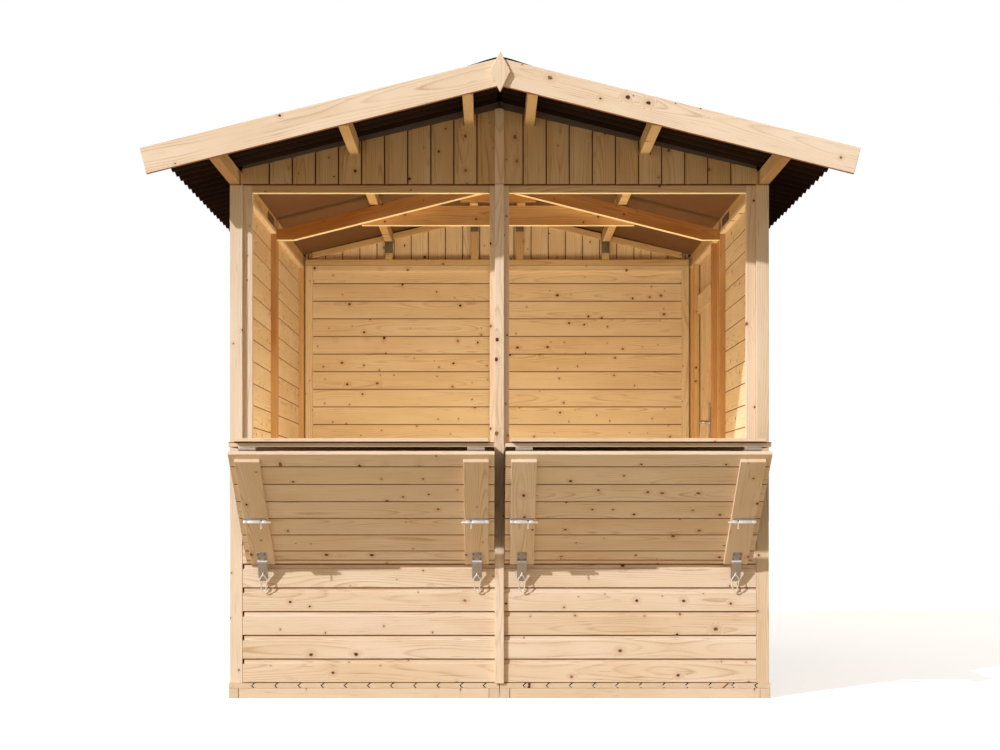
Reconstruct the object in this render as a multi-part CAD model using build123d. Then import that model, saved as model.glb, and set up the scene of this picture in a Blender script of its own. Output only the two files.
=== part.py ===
"""Wooden market stall: a two by two metre timber kiosk with a serving front.

Panels of 16 mm boards on light frames stand on a two-part timber floor. The front has two
bays, each with a folding counter shutter, shown open: the upper leaf lies level as a counter
and the lower leaf leans back under it against the wall. A corrugated gable roof on six
purlins oversails on all sides, and a boarded door opens outwards in the right-hand wall.

Frame: origin on the ground at the centre of the plan, +Z up, the serving front faces -Y.
"""
import os
from math import acos, atan2, cos, degrees, hypot, radians, sin, tan

from build123d import *

os.makedirs("parts", exist_ok=True)

# ---- driving sizes (mm) ----
stall_width = 2004          # over the side cladding
stall_depth = 1980          # over the front and back cladding
wall_top = 1909             # top of the wall frames above the ground

board = 16                  # cladding, trim and shutter boards
frame_depth = 24            # wall frame timber, across the wall
stud_width = 35             # wall frame timber, along the wall
rail_height = 28            # bottom rails, sills and lintels
plate_height = 16           # flat top plate over the side studs
joint = 1                   # half gap between two panels that meet
seat_gap = 0.3              # between a round bar and what it rests on

floor_width = 2012
floor_depth = 1990
beam_height = 37
beam_width = 37
deck_thickness = 19
cross_beams = 5             # per floor module

sill_height = 918           # top of the front cladding
corner_width = 47           # corner boards
strip_width = 34            # cover strips over the panel joints

roof_angle = 14.0
gable_angle = 13.2          # cut of the gable boards, a little flatter than the roof
purlin_width = 36
purlin_height = 45
ridge_purlin_x = 112        # centre of the purlins beside the ridge
middle_purlin_x = 539
purlin_notch_gap = 3
lining_thickness = 3
sheet_thickness = 3
sheet_height = 38           # valley to crest of the corrugated sheet, over all
sheet_nominal_pitch = 76
sheet_flank_angle = 50
sheet_bend_radius = 11.5
sheet_eave_x = 1177
roof_overhang = 438         # front and back, past the cladding
ridge_cap_half = 150
ridge_cap_lift = 14         # apex of the cap above its resting line
filler_height = 28

barge_width = 91
barge_end_x = 1234
barge_above_sheet = 2       # barge top above the crests
finial_width = 70
finial_height = 138
finial_centre_drop = 50     # centre of the finial below the barge apex

rafter_depth = 60
rafter_soffit = 1867        # flat seat at the rafter's foot
tie_bottom = 1936
tie_top = 2022
tie_half = 595
gusset_bottom = 2038
gusset_half = 165

shutter_lap = 17            # shutter over the frame, all round
counter_length = 408
counter_thickness = 16
counter_batten = 13
nosing_overhang = 17
cleat_wall_gap = 8
leaf_length = 569
leaf_lead = 18.073          # upper corner of the sloping leaf in front of the level leaf's edge
leaf_wall_gap = 1
leaf_drop = 27              # upper corner of the sloping leaf below the level leaf
batten_width = 88
batten_thickness = 16
batten_start = 21           # from the leaf's upper edge
batten_end = 11             # before the leaf's foot
batten_edge_gap = 3         # battens inside the clear opening

door_width = 562            # clear doorway
door_from_back = 188        # its rear edge, measured forward from the back cladding
door_lap = 17
door_gap = 5                # clearance round the door leaf
door_stand_off = 5          # leaf in front of the studs it laps
door_bottom = 62
door_top = 1884
ledge_height = 88
ledge_thickness = 16
top_ledge_z = 1648
middle_ledge_z = 842
bottom_ledge_z = 230
handle_z = 1095
handle_from_edge = 83
lock_case_depth = 24        # rim lock behind the inner handle plate
handle_plate = 4
handle_plate_width = 40
handle_plate_above = 90     # plate above and below the lever
handle_plate_below = 130
lever_radius = 8
lever_neck = 6.5            # radius of the neck the lever stands on
lever_reach = 34            # lever's centre line from its plate
lever_length = 105

hinge_barrel = 6.0          # outer radius of the door hinge
hinge_pin = 3.0
pin_clearance = 0.1
hinge_strap = 3.0           # thickness of strap and plate
strap_length = 290
strap_half = 15             # half height of the strap at its root

plate_steel = 2             # brackets, bolt plates and hasps
bracket_leg = 50
shutter_hinge_steel = 1.5
shutter_hinge_width = 60
shutter_hinge_barrel = 5
sill_hinge_barrel = 4
bolt_along = 320            # down the leaf from its upper edge
bolt_aside = 4              # centre of the bolt from the batten's, away from where it shoots
knob_along = 23             # knob from the bolt's centre
knob_reach = 24             # end of the knob from the rod's centre line
hasp_width = 36
hasp_fixed = 43
hasp_hanging = 80
hasp_above_foot = 36        # fold of the hasp above the leaf's foot
hasp_lean = 24              # degrees, its hanging plate leaning back to the wall
hook_lean = 18
hook_on_hasp = 0.56         # its top, as a share of the way down the hanging plate
hook_wire = 2.5             # radius of the snap hook's wire
hook_length = 72            # to the corner its point is rounded from
hook_shoulder = 15          # half its greatest width, that far down
hook_shoulder_down = 26
hook_foot = 8
hook_bend = 6

# ---- sizes that follow ----
half_width = stall_width / 2
front = -stall_depth / 2
back = stall_depth / 2
door_back = back - door_from_back           # edges of the clear doorway
door_front = door_back - door_width
floor_top = beam_height + deck_thickness
inner_x = half_width - board                # inner face of the side cladding
frame_x = inner_x - frame_depth             # inner face of the side frames
frame_y = front + board + frame_depth       # inner face of the front frame
slope = tan(radians(roof_angle))
gable_slope = tan(radians(gable_angle))
rise = 1 / cos(radians(roof_angle))         # turns a thickness square to the roof to a height
lining_rise = lining_thickness * rise
ridge_z = wall_top + purlin_height + lining_rise + slope * half_width   # valley line at the ridge
rafter_z = ridge_z - lining_rise - purlin_height - slope * purlin_width
front_edge = front - roof_overhang
back_edge = back + roof_overhang
stud_end_x = half_width - corner_width      # outer edge of the end studs
panel_gap = 2 * joint


# ---- small helpers ----
def block(x, y, z):
    """A box between two values on each axis."""
    (x0, x1), (y0, y1), (z0, z1) = sorted(x), sorted(y), sorted(z)
    corner = Location((x0, y0, z0))
    low = (Align.MIN, Align.MIN, Align.MIN)
    return Box(x1 - x0, y1 - y0, z1 - z0, align=low).moved(corner)


def slab_xz(points, y0, y1):
    """A flat plate outlined in X and Z, from y0 back to y1."""
    outline = Polyline(*[(x, y0, z) for x, z in points], close=True)
    return extrude(make_face(outline), amount=y1 - y0, dir=(0, 1, 0))


def slab_yz(points, x0, x1):
    """A flat plate outlined in Y and Z, from x0 across to x1."""
    outline = Polyline(*[(x0, y, z) for y, z in points], close=True)
    return extrude(make_face(outline), amount=x1 - x0, dir=(1, 0, 0))


def both_sides(shapes):
    """The shapes and their mirror images across the middle of the stall."""
    return list(shapes) + [mirror(s, about=Plane.YZ) for s in shapes]


def both_ends(shapes):
    """The shapes and their mirror images front to back."""
    return list(shapes) + [mirror(s, about=Plane.XZ) for s in shapes]


def save(name, shapes):
    solids = [solid for shape in shapes for solid in shape.solids()]
    export_step(Compound(solids), f"parts/{name}.step")


def roof_z(x, above=0.0):
    """Height of the roof at x, a distance above the line of the sheet's valleys."""
    return ridge_z - slope * abs(x) + above * rise


def gable_z(x):
    """Height of the gable boards' cut at x."""
    end = stud_end_x
    return roof_z(end) - lining_rise + gable_slope * (end - abs(x))


# ---- floor: two modules of boards on edge beams ----
def floor():
    half = floor_width / 2
    y0, y1 = -floor_depth / 2, floor_depth / 2
    side = [
        block((joint, joint + beam_width), (y0, y1), (0, beam_height)),
        block((half - beam_width, half), (y0, y1), (0, beam_height)),
    ]
    save("floor_side_beams", both_sides(side))
    step = (floor_depth - beam_width) / (cross_beams - 1)
    cross = []
    for i in range(cross_beams):
        y = y0 + i * step
        x = (joint + beam_width, half - beam_width)
        cross.append(block(x, (y, y + beam_width), (0, beam_height)))
    save("floor_cross_beams", both_sides(cross))
    deck = block((joint, half), (y0, y1), (beam_height, floor_top))
    save("floor_deck", both_sides([deck]))


# ---- walls ----
def front_wall():
    face = (front, front + board)
    depth = (front + board, frame_y)
    tall = (floor_top, wall_top)
    outer = (stud_end_x - stud_width, stud_end_x)
    inner = (joint, joint + stud_width)
    save("front_studs", both_sides([block(outer, depth, tall), block(inner, depth, tall)]))
    between = (inner[1], outer[0])
    rails = [block(between, depth, (z - rail_height, z))
             for z in (floor_top + rail_height, sill_height, wall_top)]
    save("front_rails", both_sides(rails))
    cladding = block((joint, stud_end_x - joint), face, (floor_top, sill_height))
    save("front_cladding", both_sides([cladding]))


def side_walls():
    middle = 0.0
    y0, y1 = front + board, back - board
    studs_z = (floor_top, wall_top - plate_height)
    depth = (frame_x, inner_x)
    ends = [(y0, y0 + stud_width), (middle - joint - stud_width, middle - joint),
            (middle + joint, middle + joint + stud_width), (y1 - stud_width, y1)]
    hinge_stud = (door_back, door_back + stud_width)
    latch_stud = (door_front - stud_width, door_front)
    right = [block(depth, y, studs_z) for y in ends + [latch_stud, hinge_stud]]
    left = [mirror(s, about=Plane.YZ) for s in right[:4]]
    save("side_studs", right + left)

    foot = (floor_top, floor_top + rail_height)
    head = (wall_top - plate_height, wall_top)
    plates = [block(depth, (y0, middle - joint), head), block(depth, (middle + joint, y1), head)]
    front_foot = block(depth, (ends[0][1], ends[1][0]), foot)
    rear_feet = [block(depth, (ends[2][1], latch_stud[0]), foot),
                 block(depth, (hinge_stud[1], ends[3][0]), foot)]
    long_foot = block(depth, (ends[2][1], ends[3][0]), foot)
    left_rails = [mirror(s, about=Plane.YZ) for s in plates + [front_foot, long_foot]]
    save("side_rails", plates + [front_foot] + rear_feet + left_rails)

    skin = (inner_x, half_width)
    tall = (floor_top, wall_top)
    front_panel = block(skin, (y0, middle - joint), tall)
    rear_panel = block(skin, (middle + joint, y1), tall)
    save("left_cladding", [mirror(s, about=Plane.YZ) for s in (front_panel, rear_panel)])
    opening = door_edges()
    head_z = (door_top + door_gap, wall_top)
    save("right_cladding", [
        front_panel,
        block(skin, (middle + joint, opening[0] - door_gap), tall),
        block(skin, (opening[1] + door_gap, y1), tall),
        block(skin, (opening[0] - door_gap + joint, opening[1] + door_gap - joint), head_z),
    ])


def back_wall():
    face = (back - board, back)
    depth = (back - board - frame_depth, back - board)
    tall = (floor_top, wall_top)
    outer = (stud_end_x - stud_width, stud_end_x)
    inner = (joint, joint + stud_width)
    save("back_studs", both_sides([block(outer, depth, tall), block(inner, depth, tall)]))
    between = (inner[1], outer[0])
    rails = [block(between, depth, (z - rail_height, z))
             for z in (floor_top + rail_height, wall_top)]
    save("back_rails", both_sides(rails))
    cladding = block((joint, stud_end_x - joint), face, (floor_top, wall_top - panel_gap))
    save("back_cladding", both_sides([cladding]))


def trim():
    tall = (floor_top, wall_top - panel_gap)
    corner = block((stud_end_x, half_width), (front, front + board), tall)
    save("corner_boards", both_ends(both_sides([corner])))
    across = (-strip_width / 2, strip_width / 2)
    proud = (front - board, front)
    gable_strip = slab_xz([
        (across[0], wall_top), (across[1], wall_top),
        (across[1], gable_z(across[1])), (0, gable_z(0)), (across[0], gable_z(across[0])),
    ], *proud)
    save("cover_strips", both_ends([block(across, proud, tall), gable_strip]))
    packer_z = (sill_height + panel_gap, wall_top - panel_gap)
    save("centre_packer", [block(across, (front, front + board), packer_z)])


# ---- gables and roof frame ----
purlin_inner = [x - purlin_width / 2 for x in (ridge_purlin_x, middle_purlin_x)]
purlin_inner.append(half_width - purlin_width)


def purlin_foot(inner):
    """Height of the underside of the purlin whose inner side is at this x."""
    return roof_z(inner + purlin_width) - lining_rise - purlin_height


def gables():
    gap = purlin_notch_gap
    outline = [(joint, wall_top), (stud_end_x, wall_top), (stud_end_x, gable_z(stud_end_x))]
    for inner in (purlin_inner[1], purlin_inner[0]):
        outer = inner + purlin_width
        foot = purlin_foot(inner)
        outline += [(outer + gap, gable_z(outer + gap)), (outer + gap, foot)]
        outline += [(inner - gap, foot), (inner - gap, gable_z(inner - gap))]
    outline.append((joint, gable_z(joint)))
    front_boards = both_sides([slab_xz(outline, front, front + board)])
    save("front_gable", front_boards)
    save("back_gable", [mirror(s, about=Plane.XZ) for s in front_boards])

    depth = (front + board, frame_y)
    bottom = (wall_top + joint, wall_top + joint + rail_height)
    rails = [block((joint, stud_end_x), depth, bottom)]
    spans = [(joint, purlin_inner[0] - gap),
             (purlin_inner[0] + purlin_width + gap, purlin_inner[1] - gap),
             (purlin_inner[1] + purlin_width + gap, stud_end_x - stud_width)]
    for x0, x1 in spans:
        rails.append(slab_xz([(x0, gable_z(x0)), (x1, gable_z(x1)),
                              (x1, gable_z(x1) - rail_height), (x0, gable_z(x0) - rail_height)],
                             *depth))
    save("gable_rails", both_ends(both_sides(rails)))
    studs = [block((x, x + purlin_width), depth, (bottom[1], purlin_foot(x)))
             for x in purlin_inner[:2]]
    save("gable_studs", both_ends(both_sides(studs)))

    strip = slab_xz([(joint, gable_z(joint)), (stud_end_x, gable_z(stud_end_x)),
                     (stud_end_x, gable_z(stud_end_x) + filler_height),
                     (joint, gable_z(joint) + filler_height)], front, front + board)
    for inner in purlin_inner[:2]:
        outer = inner + purlin_width
        strip -= slab_xz([(inner - gap, 0), (outer + gap, 0),
                          (outer + gap, roof_z(outer + gap) - lining_rise),
                          (inner - gap, roof_z(inner - gap) - lining_rise)], front, front + board)
    save("verge_fillers", both_ends(both_sides([strip])))


def purlins():
    names = ("ridge_purlins", "middle_purlins", "eave_purlins")
    lengths = [(front_edge, -joint), (joint, back_edge)]
    for name, inner in zip(names, purlin_inner):
        outer = inner + purlin_width
        foot = purlin_foot(inner)
        section = [(inner, foot), (outer, foot), (outer, roof_z(outer) - lining_rise),
                   (inner, roof_z(inner) - lining_rise)]
        save(name, both_sides([slab_xz(section, y0, y1) for y0, y1 in lengths]))


def truss():
    """Two rafters across the middle, a collar tie and an apex gusset behind them."""
    drop = rafter_depth * rise
    foot_x = (rafter_z - drop - rafter_soffit) / slope
    end = frame_x
    rafter = [(joint, rafter_z - slope * joint), (end, rafter_z - slope * end),
              (end, rafter_soffit), (foot_x, rafter_soffit),
              (joint, rafter_z - drop - slope * joint)]
    y0 = -joint - stud_width
    save("truss_rafters", both_sides([slab_xz(rafter, y0, -joint)]))
    y_tie = (-joint, -joint + frame_depth)
    crop = (rafter_z - tie_top) / slope
    shoulder = rafter_z - slope * tie_half
    tie = [(-tie_half, tie_bottom), (tie_half, tie_bottom), (tie_half, shoulder),
           (crop, tie_top), (-crop, tie_top), (-tie_half, shoulder)]
    save("truss_tie", [slab_xz(tie, *y_tie)])
    shoulder = rafter_z - slope * gusset_half
    gusset = [(-gusset_half, gusset_bottom), (gusset_half, gusset_bottom),
              (gusset_half, shoulder), (0, rafter_z), (-gusset_half, shoulder)]
    save("truss_gusset", [slab_xz(gusset, *y_tie)])


def roof_plane(side):
    """A work plane at the ridge: X back along the ridge, Y out of the roof, Z down the slope."""
    angle = radians(roof_angle)
    down = (cos(angle) * side, 0, -sin(angle))
    return Plane(origin=(0, 0, ridge_z), x_dir=(0, side, 0), z_dir=down)


def sheet_section():
    """The corrugated profile, cut to length, with its valleys at height 0."""
    span = stall_depth - board
    pitch = span / round(span / sheet_nominal_pitch)
    crests = round(span / pitch) + 2 * int(roof_overhang / pitch + 2)
    flank = tan(radians(sheet_flank_angle))
    peak = pitch / 4 * flank
    lift = sheet_thickness / 2 / cos(radians(sheet_flank_angle))
    middle = sheet_height / 2
    first = -(crests // 2) * pitch if round(span / pitch) % 2 == 0 else -(crests / 2) * pitch

    def wave(up, crest_radius, valley_radius):
        points, radii = [], []
        for i in range(2 * crests + 1):
            high = i % 2 == 0
            y = first + i * pitch / 2
            points.append((y, middle + up + (peak if high else -peak)))
            radii.append(crest_radius if high else valley_radius)
        return FilletPolyline(*points, radius=radii[1:-1])

    radius = sheet_bend_radius
    half = sheet_thickness / 2
    over = wave(lift, radius + half, radius - half)
    under = wave(-lift, radius - half, radius + half)
    ends = [Line(over @ 0, under @ 0), Line(over @ 1, under @ 1)]
    profile = make_face([over, under] + ends)
    keep = Rectangle(stall_depth + 2 * roof_overhang, 8 * sheet_height)
    return profile & keep


def roof():
    section = sheet_section()
    start = sheet_height * slope / 2 + joint
    length = sheet_eave_x * rise - start
    for name, side in (("roof_sheet_left", -1), ("roof_sheet_right", 1)):
        plane = roof_plane(side).offset(start)
        save(name, [extrude(plane * section, amount=length)])

    edge = half_width
    lining = slab_xz([(joint, roof_z(joint)), (edge, roof_z(edge)),
                      (edge, roof_z(edge) - lining_rise), (joint, roof_z(joint) - lining_rise)],
                     front + board, back - board)
    save("roof_lining", both_sides([lining]))

    apex = roof_z(0, sheet_height) + ridge_cap_lift
    tip = roof_z(ridge_cap_half, sheet_height)
    thick = sheet_thickness * rise
    cap = [(-ridge_cap_half, tip), (0, apex), (ridge_cap_half, tip),
           (ridge_cap_half, tip + thick), (0, apex + thick), (-ridge_cap_half, tip + thick)]
    save("ridge_cap", [slab_xz(cap, front_edge, back_edge)])


def bargeboards():
    angle = radians(roof_angle)
    top = roof_z(0, sheet_height) + barge_above_sheet
    end_z = top - slope * barge_end_x
    low_x = barge_end_x - barge_width * sin(angle)
    low_z = end_z - barge_width * cos(angle)
    outline = [(joint, top - slope * joint), (barge_end_x, end_z), (low_x, low_z),
               (joint, low_z + slope * (low_x - joint))]
    barge = slab_xz(outline, front_edge - board, front_edge)
    save("bargeboards", both_ends(both_sides([barge])))
    centre = top - finial_centre_drop
    diamond = slab_xz([(0, centre - finial_height / 2), (finial_width / 2, centre),
                       (0, centre + finial_height / 2), (-finial_width / 2, centre)],
                      front_edge - 2 * board, front_edge - board)
    save("finials", both_ends([diamond]))


def brackets():
    """Angle brackets under the purlins inside the gables, nail plates on the eave purlins."""
    leg, thick, side = bracket_leg, plate_steel, 2
    angles = []
    for inner in purlin_inner[:2]:
        foot = purlin_foot(inner)
        section = [(frame_y, foot - leg), (frame_y + thick, foot - leg),
                   (frame_y + thick, foot - thick), (frame_y + leg, foot - thick),
                   (frame_y + leg, foot), (frame_y, foot)]
        angles.append(slab_yz(section, inner - side, inner + purlin_width + side))
    plate_x = half_width - purlin_width
    plate_y, plate_half = (-264, -84), 17
    plate_z = wall_top + purlin_height / 2
    nail_plate = block((plate_x - thick, plate_x), plate_y,
                       (plate_z - plate_half, plate_z + plate_half))
    save("roof_brackets", both_ends(both_sides(angles)) + both_sides([nail_plate]))


# ---- the folding shutters, open as counters ----
bay_inner = joint + stud_width - shutter_lap
bay_outer = stud_end_x - stud_width + shutter_lap
bay = (bay_inner, bay_outer)
counter_z = sill_height + joint             # underside of the level leaf
counter_top = counter_z + counter_thickness
opening_x = (joint + stud_width + batten_edge_gap, stud_end_x - stud_width - batten_edge_gap)
leaf_reach = counter_length + leaf_lead - leaf_wall_gap     # across both corners of the sloping leaf
leaf_slope = degrees(acos(leaf_reach / hypot(leaf_length, board)) + atan2(board, leaf_length))
leaf_dir = (cos(radians(leaf_slope)), -sin(radians(leaf_slope)))    # down the leaf, in Y and Z
leaf_out = (-sin(radians(leaf_slope)), -cos(radians(leaf_slope)))   # out of its inner face
leaf_foot_y = front - leaf_wall_gap + leaf_out[0] * board           # lower corner, inner face
leaf_head_y = leaf_foot_y - leaf_dir[0] * leaf_length
leaf_head_z = counter_z - leaf_drop                                 # upper corner, inner face


def on_leaf(along, out):
    """Y and Z of a point down the sloping leaf and out from its inner face."""
    y = leaf_head_y + leaf_dir[0] * along + leaf_out[0] * out
    z = leaf_head_z + leaf_dir[1] * along + leaf_out[1] * out
    return y, z


def leaf_slab(along, out, across):
    """A plate lying on the sloping leaf."""
    corners = [(along[0], out[0]), (along[1], out[0]), (along[1], out[1]), (along[0], out[1])]
    return slab_yz([on_leaf(*c) for c in corners], *across)


batten_x = [(opening_x[0], opening_x[0] + batten_width),
            (opening_x[1] - batten_width, opening_x[1])]


def shutters():
    edge = front - counter_length
    leaf = block(bay, (edge, front), (counter_z, counter_top))
    save("counter_leaves", both_sides([leaf]))
    battens_z = (counter_top, counter_top + counter_batten)
    nose_y = (edge - nosing_overhang, edge - nosing_overhang + batten_width)
    cleats_y = (nose_y[1] + joint, front - cleat_wall_gap)
    battens = [block(opening_x, nose_y, battens_z)]
    battens += [block(x, cleats_y, battens_z) for x in batten_x]
    save("counter_battens", both_sides(battens))
    save("support_leaves", both_sides([leaf_slab((0, leaf_length), (-board, 0), bay)]))
    reach = (batten_start, leaf_length - batten_end)
    battens = [leaf_slab(reach, (0, batten_thickness), x) for x in batten_x]
    save("support_battens", both_sides(battens))


def across_x(radius, length, x, y, z):
    """A round bar lying along X."""
    return Cylinder(radius, length).rotate(Axis.Y, 90).moved(Location((x, y, z)))


def shutter_hinges(x):
    """One hinge between the two leaves, and one at the sill behind the counter."""
    steel = shutter_hinge_steel
    across = (x - shutter_hinge_width / 2, x + shutter_hinge_width / 2)
    edge = on_leaf(0, -board)
    y = (front - counter_length + edge[0]) / 2
    z = (counter_z + edge[1]) / 2
    upper = block(across, (y, y + 34), (counter_z - steel, counter_z))
    web = block(across, (y, y + steel), (z, counter_z))
    lower = leaf_slab((0, 30), (-board - steel, -board), across)
    neck = slab_yz([(y, z), (y + steel, z), on_leaf(0, -board - steel), edge], *across)
    barrel = across_x(shutter_hinge_barrel, shutter_hinge_width, x, y, z)
    radius = sill_hinge_barrel
    sill = across_x(radius, shutter_hinge_width, x,
                    front - radius - seat_gap, counter_z - radius - seat_gap)
    return [barrel + upper + web + neck + lower, sill]


def barrel_bolt(x, towards):
    """A sliding bolt on a batten, its rod shot towards the middle of the leaf."""
    middle = (Align.CENTER, Align.CENTER, Align.MIN)
    base, keep = (84, 30, plate_steel), (10, 18, 11)
    keep_x, rod_radius, rod_length, rod_z, knob_radius = 32, 4, 100, 7.5, 3
    bolt = Box(*base, align=middle)
    bolt += Location((towards * 8, 0, rod_z)) * Rot(0, 90, 0) * Cylinder(rod_radius, rod_length)
    knob = Rot(leaf_slope, 0, 0) * Cylinder(knob_radius, knob_reach, align=middle)
    bolt += Location((towards * knob_along, 0, rod_z)) * knob
    for dx in (-keep_x, 0, keep_x):
        bolt += Location((dx, 0, plate_steel)) * Box(*keep, align=middle)
    y, z = on_leaf(bolt_along, batten_thickness)
    x -= towards * bolt_aside
    return Plane(origin=(x, y, z), x_dir=(1, 0, 0), z_dir=(0, *leaf_out)) * bolt


def leaning(x, y, z, lean):
    """A plane across X that leans back to the wall by an angle, its Y axis pointing up."""
    out = (0, -cos(radians(lean)), -sin(radians(lean)))
    return Plane(origin=(x, y, z), x_dir=(1, 0, 0), z_dir=out)


def hasp(x):
    """A hasp near the foot of a batten, its free plate hanging with a hook on it."""
    barrel = 4
    fold = leaf_length - hasp_above_foot
    across = (x - hasp_width / 2, x + hasp_width / 2)
    fixed = leaf_slab((fold - hasp_fixed, fold),
                      (batten_thickness, batten_thickness + plate_steel), across)
    y, z = on_leaf(fold + barrel - 1, batten_thickness + barrel + seat_gap)
    knuckle = across_x(barrel, hasp_width, x, y, z)
    hanging = leaning(x, y, z, hasp_lean)
    low = (Align.CENTER, Align.MAX, Align.MIN)
    free = hanging * Location((0, 0, 1)) * Box(hasp_width, hasp_hanging, plate_steel, align=low)
    off = 1 + plate_steel + hook_wire + seat_gap
    top = hanging.from_local_coords((0, -hasp_hanging * hook_on_hasp, off))
    return fixed + knuckle + free, snap_hook(top)


def snap_hook(top):
    """A wire hook, widest at its shoulders, hanging down from its point."""
    outline = [(0, 0), (-hook_shoulder, -hook_shoulder_down), (-hook_foot, -hook_length),
               (hook_foot, -hook_length), (hook_shoulder, -hook_shoulder_down)]
    path = leaning(*top, hook_lean) * FilletPolyline(*outline, radius=hook_bend, close=True)
    start = Plane(origin=path @ 0, z_dir=path % 0)
    return sweep(start * Circle(hook_wire), path=path)


def shutter_hardware():
    hinges, bolts, hasps, hooks = [], [], [], []
    for ends, towards in zip(batten_x, (1, -1)):
        x = (ends[0] + ends[1]) / 2
        hinges += shutter_hinges(x)
        bolts.append(barrel_bolt(x, towards))
        plate, hook = hasp(x)
        hasps.append(plate)
        hooks.append(hook)
    save("shutter_hinges", both_sides(hinges))
    save("barrel_bolts", both_sides(bolts))
    save("hasps", both_sides(hasps))
    save("snap_hooks", both_sides(hooks))


# ---- the door in the right-hand wall ----
def door_edges():
    """Front and back edges of the leaf, in the stall's own Y."""
    return door_front - door_lap, door_back + door_lap


leaf_x = (inner_x + door_stand_off, inner_x + door_stand_off + board)
pivot_x = leaf_x[1] + hinge_barrel
pivot_y = door_back + door_lap + door_gap / 2
hinge_heights = [z + ledge_height / 2 for z in (bottom_ledge_z, top_ledge_z)]


def brace_outline(ledge_y, low_z, high_z):
    """A brace between two ledges, from the hinge side up to the lock side."""
    angle = atan2(high_z - low_z, ledge_y[1] - ledge_y[0] - ledge_height)
    along = ledge_height / sin(angle)
    return [(ledge_y[1] - along, low_z), (ledge_y[1], low_z),
            (ledge_y[0] + along, high_z), (ledge_y[0], high_z)]


def door():
    y0, y1 = door_edges()
    save("door_boards", [block(leaf_x, (y0, y1), (door_bottom, door_top))])
    behind = (leaf_x[0] - ledge_thickness, leaf_x[0])
    ledge_y = (door_front + 2 * door_gap, door_back - 2 * door_gap)
    feet = (bottom_ledge_z, middle_ledge_z, top_ledge_z)
    save("door_ledges", [block(behind, ledge_y, (z, z + ledge_height)) for z in feet])
    braces = [brace_outline(ledge_y, low + ledge_height + joint, high - joint)
              for low, high in zip(feet, feet[1:])]
    save("door_brace", [slab_yz(outline, *behind) for outline in braces])


def hinge_strap_and_plate(z):
    """A strap on the leaf with its ring, and the plate on the wall that carries the pin."""
    ring_height, arm_height, plate_half = 30, 28, 50
    edge = door_edges()[1]
    hole = Cylinder(hinge_pin + pin_clearance, 2 * ring_height)
    hole = hole.moved(Location((pivot_x, pivot_y, z)))
    root, tip = pivot_y - hinge_barrel / 2, edge - strap_length
    strap = slab_yz([(root, z - strap_half), (root, z + strap_half), (tip + 10, z + 9),
                     (tip, z), (tip + 10, z - 9)], leaf_x[1], leaf_x[1] + hinge_strap)
    ring = Cylinder(hinge_barrel, ring_height).moved(Location((pivot_x, pivot_y, z)))
    wall = (half_width, half_width + hinge_strap)
    plate = block(wall, (pivot_y + 8, pivot_y + 56), (z - plate_half, z + plate_half))
    for dz in (-(ring_height + arm_height + 4) / 2, (ring_height + arm_height + 4) / 2):
        knuckle = Cylinder(hinge_barrel, arm_height).moved(Location((pivot_x, pivot_y, z + dz)))
        arm = block((half_width, pivot_x), (pivot_y + 3, pivot_y + 9),
                    (z + dz - arm_height / 2, z + dz + arm_height / 2))
        plate += knuckle + arm
    plate += Cylinder(hinge_pin, 3 * ring_height).moved(Location((pivot_x, pivot_y, z)))
    return ring + strap - hole, plate


def lever_handle(face, out):
    """A long plate with a lever, on a face of the leaf; out is the way it stands."""
    y = door_edges()[0] + handle_from_edge
    half = handle_plate_width / 2
    outer = face + out * handle_plate
    plate = block((face, outer), (y - half, y + half),
                  (handle_z - handle_plate_below, handle_z + handle_plate_above))
    neck = across_x(lever_neck, lever_reach, outer + out * lever_reach / 2, y, handle_z)
    grip = Cylinder(lever_radius, lever_length).rotate(Axis.X, 90)
    grip_y = y - lever_radius + lever_length / 2
    return plate + neck + grip.moved(Location((outer + out * lever_reach, grip_y, handle_z)))


def door_hardware():
    pairs = [hinge_strap_and_plate(z) for z in hinge_heights]
    save("door_hinge_straps", [strap for strap, plate in pairs])
    save("door_hinge_plates", [plate for strap, plate in pairs])

    y = door_edges()[0] + handle_from_edge
    case_x = (leaf_x[0] - lock_case_depth, leaf_x[0])
    case_y = (y - handle_plate_width / 2, y + handle_plate_width / 2)
    case_z = (handle_z - handle_plate_below + 20, handle_z + handle_plate_above - 20)
    inner = block(case_x, case_y, case_z) + lever_handle(case_x[0], -1)
    save("door_handles", [inner, lever_handle(leaf_x[1], 1)])


floor()
front_wall()
side_walls()
back_wall()
trim()
gables()
purlins()
truss()
roof()
bargeboards()
brackets()
shutters()
shutter_hardware()
door()
door_hardware()
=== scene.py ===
import math
import random
from functools import partial

import bmesh
import bpy
from mathutils import Matrix, Vector, noise


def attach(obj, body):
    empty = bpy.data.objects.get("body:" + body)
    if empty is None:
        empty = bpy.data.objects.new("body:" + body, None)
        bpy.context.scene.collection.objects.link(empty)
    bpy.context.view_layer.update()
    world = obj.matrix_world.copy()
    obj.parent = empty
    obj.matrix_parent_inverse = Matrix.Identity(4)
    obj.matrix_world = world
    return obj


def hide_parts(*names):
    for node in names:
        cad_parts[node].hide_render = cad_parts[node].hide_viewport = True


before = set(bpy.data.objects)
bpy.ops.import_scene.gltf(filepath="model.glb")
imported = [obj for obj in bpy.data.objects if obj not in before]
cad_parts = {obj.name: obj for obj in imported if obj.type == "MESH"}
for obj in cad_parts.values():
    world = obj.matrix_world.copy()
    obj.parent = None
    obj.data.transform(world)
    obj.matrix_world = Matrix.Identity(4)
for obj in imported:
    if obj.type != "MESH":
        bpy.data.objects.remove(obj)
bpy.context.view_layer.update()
mm = 0.001
dice = random.Random(11)   # one seeded source for every board's own tone and grain
alongX, alongY, alongZ = Vector((1, 0, 0)), Vector((0, 1, 0)), Vector((0, 0, 1))


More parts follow.
